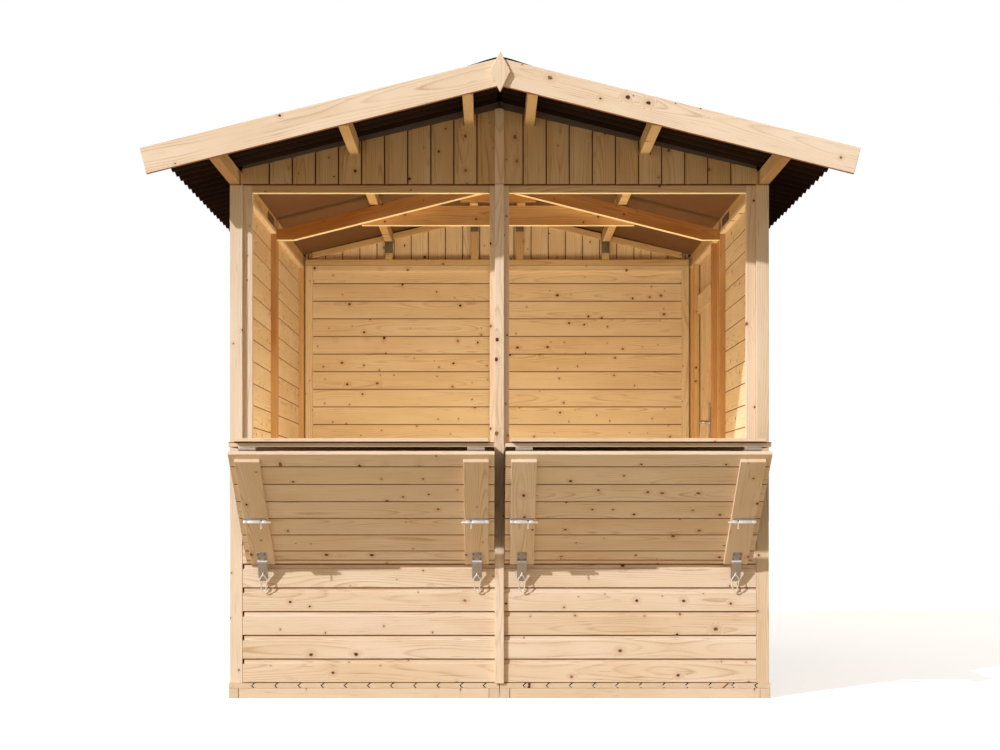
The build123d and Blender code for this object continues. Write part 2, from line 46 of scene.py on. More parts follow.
def sRgb(code):   # "#c8a070" to linear colour
    parts = [int(code[i:i + 2], 16) / 255 for i in (1, 3, 5)]
    return [c / 12.92 if c <= 0.04045 else ((c + 0.055) / 1.055) ** 2.4 for c in parts] + [1.0]


def addNode(tree, kind, inputs=(), mode=None, stops=None, **settings):
    # inputs are a row or named; each is a value, a hex colour, a socket, or a node for its live output
    node = tree.nodes.new("ShaderNode" + kind)
    if mode:     # what the node works out, or the kind of data it mixes
        settings["operation" if hasattr(node, "operation") else "data_type"] = mode
    for key, value in settings.items():
        setattr(node, key, value)
    for key, value in inputs.items() if isinstance(inputs, dict) else enumerate(inputs):
        if isinstance(value, bpy.types.Node):
            value = next(socket for socket in value.outputs if socket.enabled)
        if isinstance(value, bpy.types.NodeSocket):
            tree.links.new(value, node.inputs[key])
        else:
            node.inputs[key].default_value = sRgb(value) if isinstance(value, str) else value
    if stops:     # of a ramp: a place and a hex colour or a grey
        ramp = node.color_ramp.elements
        while len(ramp) < len(stops):
            ramp.new(1.0)
        for element, (place, colour) in zip(ramp, stops):
            element.position = place
            element.color = sRgb(colour) if isinstance(colour, str) else (colour, colour, colour, 1)
    return node


def newMaterial(name):
    material = bpy.data.materials.new(name)
    material.use_nodes = True
    material.node_tree.nodes.clear()
    return material, partial(addNode, material.node_tree)


def finishMaterial(material, surface):
    tree = material.node_tree
    addNode(tree, "OutputMaterial", {"Surface": addNode(tree, "BsdfPrincipled", surface)})
    return material


def newObject(name, data):
    made = bpy.data.objects.new(name, data)
    bpy.context.scene.collection.objects.link(made)
    return made


def woodPart():
    part = bmesh.new()
    part.verts.layers.float_vector.new("grain")
    part.verts.layers.float.new("tone")
    part.faces.layers.float.new("endCut")
    part.faces.layers.float.new("deep")      # painted shade: 1 brown down in a joint, up to 2 near black; -1 painted light on undersides
    return part


def newTree():   # where in its trunk a board was sawn: along, across and through, metres, and its tone
    return dice.uniform(0, 60), dice.uniform(-0.05, 0.05), dice.uniform(0.03, 0.1), dice.uniform(-1, 1)


def markGrain(part, centre, along=alongX, across=alongY, tree=None):
    # board coordinates: x along the fibre, y and z measured from the tree's pith
    sawn = tree or newTree()
    through = along.cross(across)
    pith = (sawn[0], sawn[1] - centre.dot(across), sawn[2] - centre.dot(through))
    grainLayer = part.verts.layers.float_vector["grain"]
    toneLayer = part.verts.layers.float["tone"]
    for v in part.verts:
        v[grainLayer] = [v.co.dot(axis) + start for axis, start in zip((along, across, through), pith)]
        v[toneLayer] = sawn[3]
    endLayer = part.faces.layers.float["endCut"]
    for f in part.faces:
        f[endLayer] = 1.0 if abs(f.normal.dot(along)) > 0.9 else 0.0


def pour(part, whole):   # adds a finished part to the piece it belongs to
    scratch = bpy.data.meshes.new("scratch")
    part.to_mesh(scratch)
    part.free()
    whole.from_mesh(scratch)
    bpy.data.meshes.remove(scratch)


def placePiece(whole, node, finish, smooth=None, body="stall", name=None):
    # door_brace makes doorBrace, and stands in for the CAD node of that name if there is one
    first, *rest = node.split("_")
    name = name or first + "".join(word.capitalize() for word in rest)
    mesh = bpy.data.meshes.new(name)
    whole.to_mesh(mesh)
    whole.free()
    piece = newObject(name, mesh)
    mesh.materials.append(finishes[finish])
    if smooth is not None:
        mesh.shade_smooth()
        mesh.set_sharp_from_angle(angle=math.radians(smooth))
    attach(piece, body)
    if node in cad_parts:
        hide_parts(node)


def byIndex(element):   # keeps one order, so that the grain runs the same way each time
    return element.index


def solidsOf(node):   # one bmesh for each solid of a CAD node, merged and with its flat faces whole
    copy = bmesh.new()
    copy.from_mesh(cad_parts[node].data)
    bmesh.ops.remove_doubles(copy, verts=copy.verts, dist=0.02 * mm)
    bmesh.ops.dissolve_limit(copy, angle_limit=math.radians(1), verts=copy.verts, edges=copy.edges)
    copy.verts.index_update()
    copy.faces.index_update()
    left, found = set(copy.verts), []
    while left:
        island, edge = set(), [left.pop()]
        while edge:
            v = edge.pop()
            island.add(v)
            edge += [o for e in v.link_edges for o in [e.other_vert(v)] if o in left]
            left -= set(edge)
        solid = woodPart()
        twin = {v: solid.verts.new(v.co) for v in sorted(island, key=byIndex)}
        for f in sorted({f for v in island for f in v.link_faces}, key=byIndex):
            solid.faces.new([twin[v] for v in f.verts])
        solid.normal_update()
        found.append(solid)
    copy.free()
    found.sort(key=lambda s: tuple(round(c, 3) for c in centreOf(s)))
    return found


def cornersOf(part):
    places = [v.co for v in part.verts]
    return (Vector([min(p[i] for p in places) for i in range(3)]),
            Vector([max(p[i] for p in places) for i in range(3)]))


def centreOf(part):
    low, high = cornersOf(part)
    return (low + high) / 2


def boxesOf(node):
    boxes = []
    for solid in solidsOf(node):
        boxes.append(cornersOf(solid))
        solid.free()
    return boxes


def easeEdges(part, edges, offset, steps=2, clamp=True):   # rounds edges off, millimetres
    bmesh.ops.bevel(part, geom=list(edges), offset=offset * mm, offset_type="OFFSET", segments=steps,
                    profile=0.5, affect="EDGES", material=-1, clamp_overlap=clamp)


def splitAt(part, point, away, clear=False):   # cuts faces along a plane, and may clear what lies beyond
    return bmesh.ops.bisect_plane(part, geom=part.verts[:] + part.edges[:] + part.faces[:], plane_co=point,
                                  plane_no=away, clear_outer=clear)


# paints shade, or light where the value is -1, into the colour of the chosen faces
def paintShading(part, value, chosen):
    paintedShadingLayer = part.faces.layers.float["deep"]
    for face in part.faces:
        if chosen(face):
            face[paintedShadingLayer] = value


def axes(origin, along, across, through):
    m = Matrix((along, across, through)).transposed().to_4x4()
    m.translation = origin
    return m


print("tools ready")

# planed spruce, sawn flat and left untreated: pale early wood between thin tan rings, small
# red-brown knots, a dry low sheen
spruceLooks = {
    "planedSpruce": {"pale": "#f3e0cb", "warm": "#e3c7a6", "ring": "#b0824f", "rings": 0.62, "tones": 0.14},
    "frameSpruce": {"pale": "#deb586", "warm": "#b2753a", "ring": "#814a20", "rings": 0.65, "tones": 0.4},
    # painted shade: a darker, warmer copy of the planed spruce for the front gable, the lintel and the
    # timbers under the roof
    "warmSpruce": {"pale": "#e0c49e", "warm": "#cda879", "ring": "#9c6e3e", "rings": 0.7, "tones": 0.14},
    "deckSpruce": {"pale": "#f0dcc6", "warm": "#e2c9a9", "ring": "#b98d5c", "rings": 0.5, "tones": 0.14},
}
spruceSizes = {
    "ringSpacing": 3.7,      # true rings are 2 to 3 mm, drawn coarser so that they show
    "ringSway": 2.4,         # rings that the trunk's taper and bends move them by
    "swayLength": 620.0,
    "fibreWidth": 1.5,       # true fibres are finer, drawn coarser so that they show
    "fibreLength": 160.0,
    "knotSpacing": 92.0,     # along the trunk
    "knotTurn": 0.78,        # cells a radian round it
    "knotSmall": 1.8,
    "knotLarge": 6.4,
    "knotShare": 0.58,
    "knotPith": 32.0,        # nearer the pith than this a knot narrows
    "checkShare": 0.69,      # noise level above which a fine check opens
    "reliefDepth": 0.2,
    "ringShade": [(0.0, 0.3), (0.08, 0), (0.5, 0.05), (0.78, 0.35), (0.92, 1), (1.0, 0.3)],    # over a year
    "knotHearts": [(0.0, "#6a3324"), (0.35, "#57281e"), (0.55, "#7c4a30"), (0.8, "#a2724b"),
                   (1.0, "#8a5638")],
    "knotRims": [(0.0, "#431c16"), (0.4, "#4e241b"), (0.6, "#5c3424"), (0.8, "#8e6240"),
                 (1.0, "#50291d")],
    "check": "#8a5a34", "knotHalo": "#b0764a", "endCut": "#9a6a3c",
    # painted shade, brown then near black, and painted light for undersides
    "paintedShadeBrown": "#8c4a08", "paintedShadeBlack": "#2a1205", "paintedLightBelow": "#fdf0d0",
}


def makeSpruce(name, look, sizes):
    material, add = newMaterial(name)
    grain = add("Attribute", attribute_name="grain").outputs["Vector"]
    tone, endCut, deep = [add("Attribute", attribute_name=layer).outputs["Fac"]
                          for layer in ("tone", "endCut", "deep")]
    parts = add("SeparateXYZ", [grain]).outputs
    flat = add("CombineXYZ", (0, parts[1], parts[2]))
    out = add("VectorMath", [flat], "LENGTH")
    turn = add("Math", (parts[1], parts[2]), "ARCTAN2")

    # knots: branches that leave the pith in some cells of a net wrapped round the trunk
    netAlong = add("Math", (parts[0], 1000 / sizes["knotSpacing"]), "MULTIPLY")
    netTurn = add("Math", (turn, sizes["knotTurn"]), "MULTIPLY")
    netPlace = add("CombineXYZ", (netAlong, netTurn))
    net = add("TexVoronoi", {"Vector": netPlace, "Scale": 1.0}, voronoi_dimensions="2D")
    gap = add("VectorMath", (netPlace, net.outputs["Position"]), "SUBTRACT")
    gapParts = add("SeparateXYZ", [gap]).outputs
    gapAlong = add("Math", (gapParts[0], 0.8 * sizes["knotSpacing"]), "MULTIPLY")
    gapTurn = add("Math", (gapParts[1], 1000 / sizes["knotTurn"]), "MULTIPLY")
    reach = add("Math", (out, sizes["knotPith"] * mm), "MAXIMUM")
    gapRound = add("Math", (gapTurn, reach), "MULTIPLY")
    gapFlat = add("CombineXYZ", (gapAlong, gapRound))
    away = add("VectorMath", [gapFlat], "LENGTH")
    chance = add("SeparateColor", [net.outputs["Color"]]).outputs
    present = add("Math", (chance[0], 1 - sizes["knotShare"]), "GREATER_THAN")
    bigness = add("Math", (chance[1], 2.4), "POWER")
    radius = add("Math", (bigness, sizes["knotLarge"] - sizes["knotSmall"], sizes["knotSmall"]),
                 "MULTIPLY_ADD")
    ragged = add("TexNoise", {"Vector": grain, "Scale": 240.0, "Detail": 2.0})
    rough = add("Math", (ragged, 1.1, 0.45), "MULTIPLY_ADD")
    span = add("Math", (away, radius), "DIVIDE")
    far = add("Math", (span, rough), "MULTIPLY")
    core = add("MapRange", (far, 1.12, 0.85, 0.0, 1.0))
    knot = add("Math", (core, present), "MULTIPLY")
    bark = add("MapRange", (far, 0.45, 0.95, 0.0, 1.0))
    halo = add("MapRange", (span, 4.5, 0.8, 0.0, 1.0), interpolation_type="SMOOTHSTEP")
    aura = add("Math", (halo, present), "MULTIPLY")

    # growth rings round the pith, swaying along the trunk and bending past the knots
    slow = add("VectorMath", (grain, (1000 / sizes["swayLength"], 7, 7)), "MULTIPLY")
    sway = add("TexNoise", {"Vector": slow, "Scale": 1.0, "Detail": 1.0})
    count = add("Math", (out, 1000 / sizes["ringSpacing"]), "MULTIPLY")
    swayed = add("Math", (sway, 4 * sizes["ringSway"], count), "MULTIPLY_ADD")
    shaken = add("Math", (ragged, 0.25, swayed), "MULTIPLY_ADD")
    bent = add("Math", (aura, 3.4, shaken), "MULTIPLY_ADD")
    year = add("Math", [bent], "FRACT")
    ring = add("ValToRGB", [year], stops=sizes["ringShade"])
    uneven = add("TexNoise", {"Vector": slow, "Scale": 3.1, "Detail": 2.0})
    strength = add("MapRange", (uneven, 0.35, 0.68, 0.1, look["rings"]))
    ringFac = add("Math", (ring, strength), "MULTIPLY")

    # fibres, fine streaks along the board, and a few checks
    fine = 1000 / sizes["fibreWidth"]
    thin = add("VectorMath", (grain, (1000 / sizes["fibreLength"], fine, fine)), "MULTIPLY")
    fibre = add("TexNoise", {"Vector": thin, "Scale": 1.0, "Detail": 2.0})
    long = add("VectorMath", (grain, (9, 260, 260)), "MULTIPLY")
    split = add("TexNoise", {"Vector": long, "Scale": 1.0, "Detail": 1.0})
    check = add("MapRange", (split, sizes["checkShare"], 0.78, 0.0, 0.5))

    # pale to warm by the board and by slow drifts
    drift = add("TexNoise", {"Vector": slow, "Scale": 1.3, "Detail": 2.0})
    shift = add("Math", (tone, look["tones"], -0.275), "MULTIPLY_ADD")
    blend = add("Math", (drift, shift), "ADD")
    mixed = add("Math", (fibre, 0.55, blend), "MULTIPLY_ADD")
    spanned = add("MapRange", (mixed, 0.15, 0.85, 0.0, 1.0))
    colour = add("Mix", {0: spanned, 6: look["pale"], 7: look["warm"]}, "RGBA")

    # then rings, checks, knots, sawn ends, and painted shade in joints and recesses and painted light on
    # undersides, each over the one before
    warmed = add("Math", (aura, 0.22), "MULTIPLY")
    heart = add("ValToRGB", [chance[2]], stops=sizes["knotHearts"])
    rim = add("ValToRGB", [chance[2]], stops=sizes["knotRims"])
    knotTone = add("Mix", {0: bark, 6: heart, 7: rim}, "RGBA")
    endDark = add("Math", (endCut, 0.1), "MULTIPLY")
    # painted shade past 1 turns near black; a negative value paints the undersides lighter
    darkestPaintedShade = add("Math", (deep, 1.0), "SUBTRACT", use_clamp=True)
    under = add("Math", (deep, -1.0), "MULTIPLY", use_clamp=True)
    for cover, over in ((ringFac, look["ring"]), (check, sizes["check"]), (warmed, sizes["knotHalo"]),
                        (knot, knotTone), (endDark, sizes["endCut"]), (deep, sizes["paintedShadeBrown"]),
                        (darkestPaintedShade, sizes["paintedShadeBlack"]), (under, sizes["paintedLightBelow"])):
        colour = add("Mix", {0: cover, 6: colour, 7: over}, "RGBA")

    relief = add("Math", (ring, 0.6, fibre), "MULTIPLY_ADD")
    bump = add("Bump", {"Strength": 0.35, "Distance": sizes["reliefDepth"] * mm, "Height": relief})
    sheen = add("MapRange", (fibre, 0.0, 1.0, 0.55, 0.75))
    return finishMaterial(material, {"Base Color": colour, "Roughness": sheen, "IOR": 1.5,
                                     "Specular IOR Level": 0.25, "Normal": bump})


# bitumen-soaked fibre sheet, near black, dull and felted, and the hard-pressed board under the
# roof, smooth brown and faintly mottled; their grain is 2 and 3 mm wide, over slow clouds
sheetLooks = {
    "bitumenSheet": {"dark": "#190d09", "light": "#29170f", "grain": (420.0, 4.0), "cloud": (5.0, 3.0),
                     "share": 0.45, "span": (0.45, 1.05), "bump": 0.5, "relief": 0.4,
                     "surface": {"IOR": 1.3, "Specular IOR Level": 0.2}, "dull": (0.7, 0.95)},
    "brownHardboard": {"dark": "#5e3a1f", "light": "#6d4727", "grain": (300.0, 3.0), "cloud": (3.0, 2.0),
                       "share": 0.3, "span": (0.4, 0.95), "bump": 0.2, "relief": 0.1,
                       "surface": {"IOR": 1.5, "Roughness": 0.62}},
}


def makeSheet(name, look):
    material, add = newMaterial(name)
    place = add("TexCoord").outputs["Object"]
    felt, cloud = [add("TexNoise", {"Vector": place, "Scale": scale, "Detail": detail})
                   for scale, detail in (look["grain"], look["cloud"])]
    mixed = add("Math", (felt, look["share"], cloud), "MULTIPLY_ADD")
    span = add("MapRange", (mixed, *look["span"]))
    colour = add("Mix", {0: span, 6: look["dark"], 7: look["light"]}, "RGBA")
    bump = add("Bump", {"Strength": look["bump"], "Distance": look["relief"] * mm, "Height": felt})
    surface = {"Base Color": colour, "Normal": bump, **look["surface"]}
    if "dull" in look:
        surface["Roughness"] = add("MapRange", (felt, 0.0, 1.0, *look["dull"]))
    return finishMaterial(material, surface)


# closed-cell foam strip: dark grey, matt, pitted
def makeFoam(name, dark, light):
    material, add = newMaterial(name)
    place = add("TexCoord").outputs["Object"]
    cells = add("TexVoronoi", {"Vector": place, "Scale": 450.0})   # 2 mm cells
    colour = add("Mix", {0: cells, 6: dark, 7: light}, "RGBA")
    bump = add("Bump", {"Strength": 0.5, "Distance": 0.4 * mm, "Height": cells})
    return finishMaterial(material, {"Base Color": colour, "Roughness": 0.9, "IOR": 1.45, "Normal": bump})


# plated steel: a grey metal with a faint drawn texture, and black on the small screws; a near-white, less
# metallic base on bolts, pins and hooks and pale beige on hinges are painted reflection of the white floor
# and lit wood, and the dull aged brackets' brown is partly painted reflection of the wood round them
steelLooks = {
    "zincPlatedSteel": {"dark": "#b2acae", "light": "#cbc6c8", "metal": 1.0, "polish": (0.3, 0.5)},
    # painted reflection: a near-white, less metallic base for the white floor and sunlit wood the steel
    # would mirror
    "brightZinc": {"dark": "#eeeaea", "light": "#ffffff", "metal": 0.45, "polish": (0.22, 0.4)},
    # painted reflection: pale beige for the lit wood and floor the hinges would mirror
    "dullZinc": {"dark": "#b9afa8", "light": "#d2c8c1", "metal": 0.6, "polish": (0.35, 0.5)},
    "greyZinc": {"dark": "#a29da0", "light": "#b8b3b6", "metal": 0.9, "polish": (0.35, 0.5)},
    # dull aged zinc, with a brown that is painted reflection of the wood round it
    "galvanisedWithPaintedReflection": {"dark": "#6e6259", "light": "#877b71", "metal": 0.85, "polish": (0.45, 0.65)},
    "blackScrew": {"dark": "#1c1918", "light": "#2c2827", "metal": 0.6, "polish": (0.4, 0.6)},
}


def makeSteel(name, look):
    material, add = newMaterial(name)
    place = add("TexCoord").outputs["Object"]
    drawn = add("VectorMath", (place, (60, 700, 700)), "MULTIPLY")   # 1.4 mm by 17 mm
    scratch = add("TexNoise", {"Vector": drawn, "Scale": 1.0, "Detail": 3.0})
    cloud = add("TexNoise", {"Vector": place, "Scale": 60.0, "Detail": 2.0})
    colour = add("Mix", {0: cloud, 6: look["dark"], 7: look["light"]}, "RGBA")
    polish = add("MapRange", (scratch, 0.0, 1.0, *look["polish"]))
    bump = add("Bump", {"Strength": 0.15, "Distance": 0.05 * mm, "Height": scratch})
    return finishMaterial(material, {"Base Color": colour, "Roughness": polish, "Metallic": look["metal"],
                                     "Normal": bump})


finishes = {name: makeSpruce(name, look, spruceSizes) for name, look in spruceLooks.items()}
finishes.update({name: makeSheet(name, look) for name, look in sheetLooks.items()})
finishes["foamStrip"] = makeFoam("foamStrip", "#5a4f48", "#6e645c")
finishes.update({name: makeSteel(name, look) for name, look in steelLooks.items()})
print("finishes ready")


def towardsCounter(face):   # sides and undersides of the door's timbers, given painted shade
    return face.normal.y < -0.3 or face.normal.z < -0.9


timbers = {
    "edge": 1.6,            # eased arris
    "steps": 2,
    "tones": {"truss_rafters": 0.5, "truss_tie": -0.4, "truss_gusset": 0.2, "side_studs": 0.0,
              "middle_purlins": 0.3, "ridge_purlins": 0.3, "eave_purlins": 0.3, "bargeboards": -1.3,
              "finials": -1.3},
    "endStudTone": -2.0,    # paler studs at the ends of the sides, this far from the middle, metres
    "endStudFrom": 0.8,
    "paleCornerTone": -1.6,
    "shade": {   # painted shade on some faces, or painted light where it is -1, and which
        # painted light: the undersides made paler, as light thrown up from the floor would leave them
        "truss_rafters": (-1, lambda face: face.normal.z < -0.7),
        "truss_tie": (-1, lambda face: face.normal.z < -0.7),
        "front_rails": (-1, lambda face: face.normal.z < -0.7),
        # painted shade: the faces in the gaps of the floor beams, under the counter battens and eave
        # purlins, and along the bargeboards' lower edges
        "floor_cross_beams": (2, lambda face: abs(face.normal.x) > 0.3),
        "floor_side_beams": (2, lambda face: abs(face.normal.x) > 0.9
                             and abs(face.calc_center_median().x) < 10 * mm),
        "counter_battens": (2, lambda face: face.normal.z < -0.3),
        "eave_purlins": (0.5, lambda face: face.normal.z < -0.7),
        "bargeboards": (0.9, lambda face: face.normal.z < -0.4),
        "door_ledges": (0.35, towardsCounter),
        "door_brace": (0.35, towardsCounter),
    },
    "pieces": [   # finish, slot and CAD nodes
        ("deckSpruce", "floor_beams", ["floor_side_beams", "floor_cross_beams"]),
        ("planedSpruce", "frame_timber", ["front_studs"]),
        ("warmSpruce", "frame_timber", ["front_rails"]),
        ("frameSpruce", "frame_timber", ["side_studs"]),
        ("planedSpruce", "frame_timber", ["side_rails", "back_studs", "back_rails"]),
        ("planedSpruce", "spruce_boards", ["corner_boards", "cover_strips", "centre_packer"]),
        ("warmSpruce", "frame_timber", ["gable_rails", "gable_studs", "ridge_purlins", "middle_purlins",
                                        "eave_purlins"]),
        ("frameSpruce", "frame_timber", ["truss_rafters", "truss_tie", "truss_gusset"]),
        ("planedSpruce", "spruce_boards", ["bargeboards", "finials", "counter_battens", "support_battens",
                                           "door_ledges", "door_brace"]),
    ],
}


def easeTimber(solid, node):   # eases the arrises of a CAD solid and lays the grain along it
    longest = max(solid.edges, key=lambda e: e.calc_length())
    along = (longest.verts[1].co - longest.verts[0].co).normalized()
    if node == "finials":
        along = alongZ
    widest = max((f for f in solid.faces if abs(f.normal.dot(along)) < 0.1), key=lambda f: f.calc_area())
    across = widest.normal.cross(along).normalized()
    easeEdges(solid, solid.edges, timbers["edge"], timbers["steps"])
    solid.normal_update()
    centre = centreOf(solid)
    tree = list(newTree())
    if node == "corner_boards" and centre.x < 0 and centre.y < 0:
        tree[3] = timbers["paleCornerTone"]
    tree[3] = timbers["tones"].get(node, tree[3])
    if node == "side_studs" and abs(centre.y) > timbers["endStudFrom"]:
        tree[3] = timbers["endStudTone"]
    if node in timbers["shade"]:
        paintShading(solid, *timbers["shade"][node])
    markGrain(solid, centre, along, across, tree)


for finish, slot, node in [(*row[:2], node) for row in timbers["pieces"] for node in row[2]]:
    whole = woodPart()
    for solid in solidsOf(node):
        easeTimber(solid, node)
        pour(solid, whole)
    placePiece(whole, node, finish, body="door" if node.startswith("door") else "stall")
print("timbers eased")

boardJoint = {
    "chamfer": 1.4,          # both edges of the inner face
    "tongueLow": 4.5,        # tongue between these depths from the inner face
    "tongueHigh": 9.0,
    "tongue": 7.0,
    "groove": 8.0,
    "taper": 0.4,            # of the tongue at its tip
    "inGap": 3.2,            # open joint on the inner face
    "outGap": 3.0,           # open joint on the outer face
    "outEdge": 0.7,          # eased lower edge of the outer face
    "flat": 8.0,             # stepped back above a cove at the top of the outer face
    "cove": 9.0,
    "step": 5.5,
    "coveSteps": 5,
    "dirt": 1.8,             # painted shadow of the upper board's edge on the top of the stepped-back part
    # painted shadow of the corner post on the boards' stepped-back part
    "paintedPostShadowStrength": 1.7,
}


def boardOutline(low, high, thick, lowJoint, highJoint):
    # section of one board, across it and through it from the inner face, in metres, and for
    # each of its sides the painted shade it takes down in a joint
    j = boardJoint
    c, inner, outer, ease = j["chamfer"], j["tongueLow"], j["tongueHigh"], j["outEdge"]
    points = [(low + (c if lowJoint else 0), 0, 0)]
    if highJoint:
        top, lip, back, tip = high - j["inGap"], high - j["outGap"], thick - j["step"], high + j["tongue"]
        points += [(top - c, 0, 0.3), (top, c, 1), (top, inner, 1), (tip, inner + j["taper"], 1),
                   (tip, outer - j["taper"], 1), (lip, outer, 1), (lip, back, 0.8),
                   (lip - j["dirt"], back, 0)]
        for k in range(j["coveSteps"]):
            t = k / j["coveSteps"]
            rise = j["step"] * (1 - math.sqrt(1 - t * t))
            points.append((lip - j["flat"] - j["cove"] * t, back + rise, 0))
        points.append((lip - j["flat"] - j["cove"], thick, 0))
    else:
        points += [(high, 0, 0), (high, thick, 0)]
    if lowJoint:
        points += [(low + ease, thick, 0.2), (low, thick - ease, 1), (low, outer + 0.3, 1),
                   (low + j["groove"], outer, 1), (low + j["groove"], inner, 1), (low, inner - 0.3, 1),
                   (low, c, 0.3)]
    else:
        points += [(low, thick, 0)]
    return [(v * mm, w * mm, d) for v, w, d in points]


def layBoard(whole, outline, length, place, cuts=(), tree=None, pocket=None):
    # a board lies along x from 0, with its width along y and its thickness along z, and is then placed; the
    # post shadow is painted shadow of the corner post on its stepped-back part at its start: length and
    # depth from the inner face
    part = woodPart()
    near = [part.verts.new((0, v, w)) for v, w, d in outline]
    far = [part.verts.new((length, v, w)) for v, w, d in outline]
    paintedShadingLayer = part.faces.layers.float["deep"]
    for i, (v, w, d) in enumerate(outline):
        k = (i + 1) % len(outline)
        part.faces.new((near[i], near[k], far[k], far[i]))[paintedShadingLayer] = d
    part.faces.new(near)
    part.faces.new(far)
    for point, away in cuts:
        split = splitAt(part, point, away, True)
        rim = [g for g in split["geom_cut"] if isinstance(g, bmesh.types.BMEdge)]
        bmesh.ops.holes_fill(part, edges=rim)
    if pocket:
        splitAt(part, (pocket[0] * mm, 0, 0), alongX)
    bmesh.ops.recalc_face_normals(part, faces=part.faces)
    part.normal_update()
    width = max(v for v, w, d in outline)
    if pocket:
        top = width - (boardJoint["tongue"] + boardJoint["outGap"] + 0.5) * mm

        def inPaintedPostShadow(face):
            x, y, z = face.calc_center_median() / mm
            return (x < pocket[0] and y * mm < top and face.normal.z > 0.3
                    and pocket[1] - 0.1 < z < walls["thick"] - 0.4)

        paintShading(part, boardJoint["paintedPostShadowStrength"], inPaintedPostShadow)
    markGrain(part, Vector((0, (outline[0][0] + width) / 2, 0)), tree=tree)
    bmesh.ops.transform(part, matrix=place, verts=part.verts)
    pour(part, whole)


def jointsBetween(low, high, first, pitch, least=12):
    # edges of the boards from low to high, in millimetres, with no sliver at either end
    step = math.ceil((low + least - first) / pitch)
    joints = [low]
    while first + step * pitch < high - least:
        joints.append(first + step * pitch)
        step += 1
    return joints + [high]


walls = {
    "thick": 16.0,
    "footGap": 3.5,          # under the lowest board of the front
    # painted shadow of the corner post at the boards' ends: length, and depth from the inner face
    "pocket": (5.5, 10.5),
    "front": (58.6, 88.2),   # a joint's height and the boards' pitch
    "sides": (63.5, 88.0),
}


def boardUp(whole, edges, length, place, pocket=None, shape=boardOutline, thick=walls["thick"]):
    for i in range(len(edges) - 1):
        topmost = i == len(edges) - 2
        layBoard(whole, shape(edges[i], edges[i + 1], thick, i > 0, not topmost), length, place,
                 pocket=None if topmost else pocket)


for node, outward, (first, pitch) in (("front_cladding", -alongY, walls["front"]),
                                      ("back_cladding", alongY, walls["sides"]),
                                      ("left_cladding", -alongX, walls["sides"]),
                                      ("right_cladding", alongX, walls["sides"])):
    whole = woodPart()
    front = node == "front_cladding"
    along = alongZ.cross(outward)      # keeps along, up and outward a right-handed set
    for low, high in boxesOf(node):
        edges = jointsBetween(low.z / mm, high.z / mm, first, pitch)
        edges[0] += walls["footGap"] if front else 0
        start = Vector([(low if along[i] + outward[i] > 0 else high)[i] for i in (0, 1)] + [0])
        boardUp(whole, edges, abs((high - low).dot(along)), axes(start, along, alongZ, outward),
                walls["pocket"] if front else None)
    placePiece(whole, node, "planedSpruce")
print("walls clad")

gables = {
    "angle": 13.2,           # cut of the board tops
    "notchGap": 3.0,         # round the purlins
    "boards": {"front_gable": (85.8, "warmSpruce"), "back_gable": (85.5, "planedSpruce")},
    "paintedFootShadow": 2.2,         # painted shadow line along the boards' foot, seen over the rail
    # painted shade, darker still, in the gable's joints and along the foot
    "paintedJointShade": 1.6,
    "clear": 100.0,          # cuts beyond the boards' outer edges
}


def notchesFor(side, across):   # where the purlins pass a gable: low edge, high edge and foot, metres
    gap = gables["notchGap"] * mm
    found = {}
    for node in ("ridge_purlins", "middle_purlins"):
        for low, high in boxesOf(node):
            ends = sorted((low.x * across, high.x * across))
            if ends[0] * side > 0:
                found[node] = (ends[0] - gap, ends[1] + gap, low.z)
    return sorted(found.values())


for node, outward in (("front_gable", -alongY), ("back_gable", alongY)):
    whole = woodPart()
    pitch, finish = gables["boards"][node]
    across = outward.cross(alongZ)
    fall = math.tan(math.radians(gables["angle"]))
    for low, high in boxesOf(node):
        ends = sorted((low.dot(across), high.dot(across)))
        side = 1 if ends[0] + ends[1] > 0 else -1
        place = axes((0, low.y if outward.y > 0 else high.y, low.z), alongZ, across, outward)
        apex = high.z - low.z + fall * min(abs(e) for e in ends)
        slant = (alongX * apex, Vector((1, fall * side, 0)))
        notches = notchesFor(side, across.x)
        edges = jointsBetween(ends[0] / mm, ends[1] / mm, 0, pitch)
        clear = gables["clear"] * mm
        stops = [ends[0] - clear] + [n[k] for n in notches for k in (0, 1)] + [ends[1] + clear]
        for i in range(len(edges) - 1):
            outline = boardOutline(edges[i], edges[i + 1], walls["thick"], i > 0, i < len(edges) - 2)
            tree = newTree()
            for k, (left, right) in enumerate(zip(stops, stops[1:])):
                if right < (edges[i] - 2) * mm or left > (edges[i + 1] + boardJoint["tongue"]) * mm:
                    continue
                length = notches[k // 2][2] - low.z if k % 2 else apex
                layBoard(whole, outline, length, place,
                         [slant, (alongY * left, -alongY), (alongY * right, alongY)], tree)
        foot = low.z + gables["paintedFootShadow"] * mm
    splitAt(whole, (0, 0, foot), alongZ)
    whole.normal_update()
    paintedShadingLayer = whole.faces.layers.float["deep"]
    # paints shade into the joints and the foot line
    paintShading(whole, gables["paintedJointShade"],
               lambda face: face[paintedShadingLayer] > 0.5 or face.calc_center_median().z < foot)
    placePiece(whole, node, finish)
print("gables clad")

deck = {
    "pitch": 86.0,
    "leftFirst": 1006, "rightFirst": -2,
    "arrow": 9.5,            # the joints are arrow-shaped, their points to the left
    "gap": 5.0,
    "chamfer": 1.2,
    "lift": 1.2,             # over the beams
    # painted shade, near black, in the arrow-shaped joints
    "deep": 2,
}


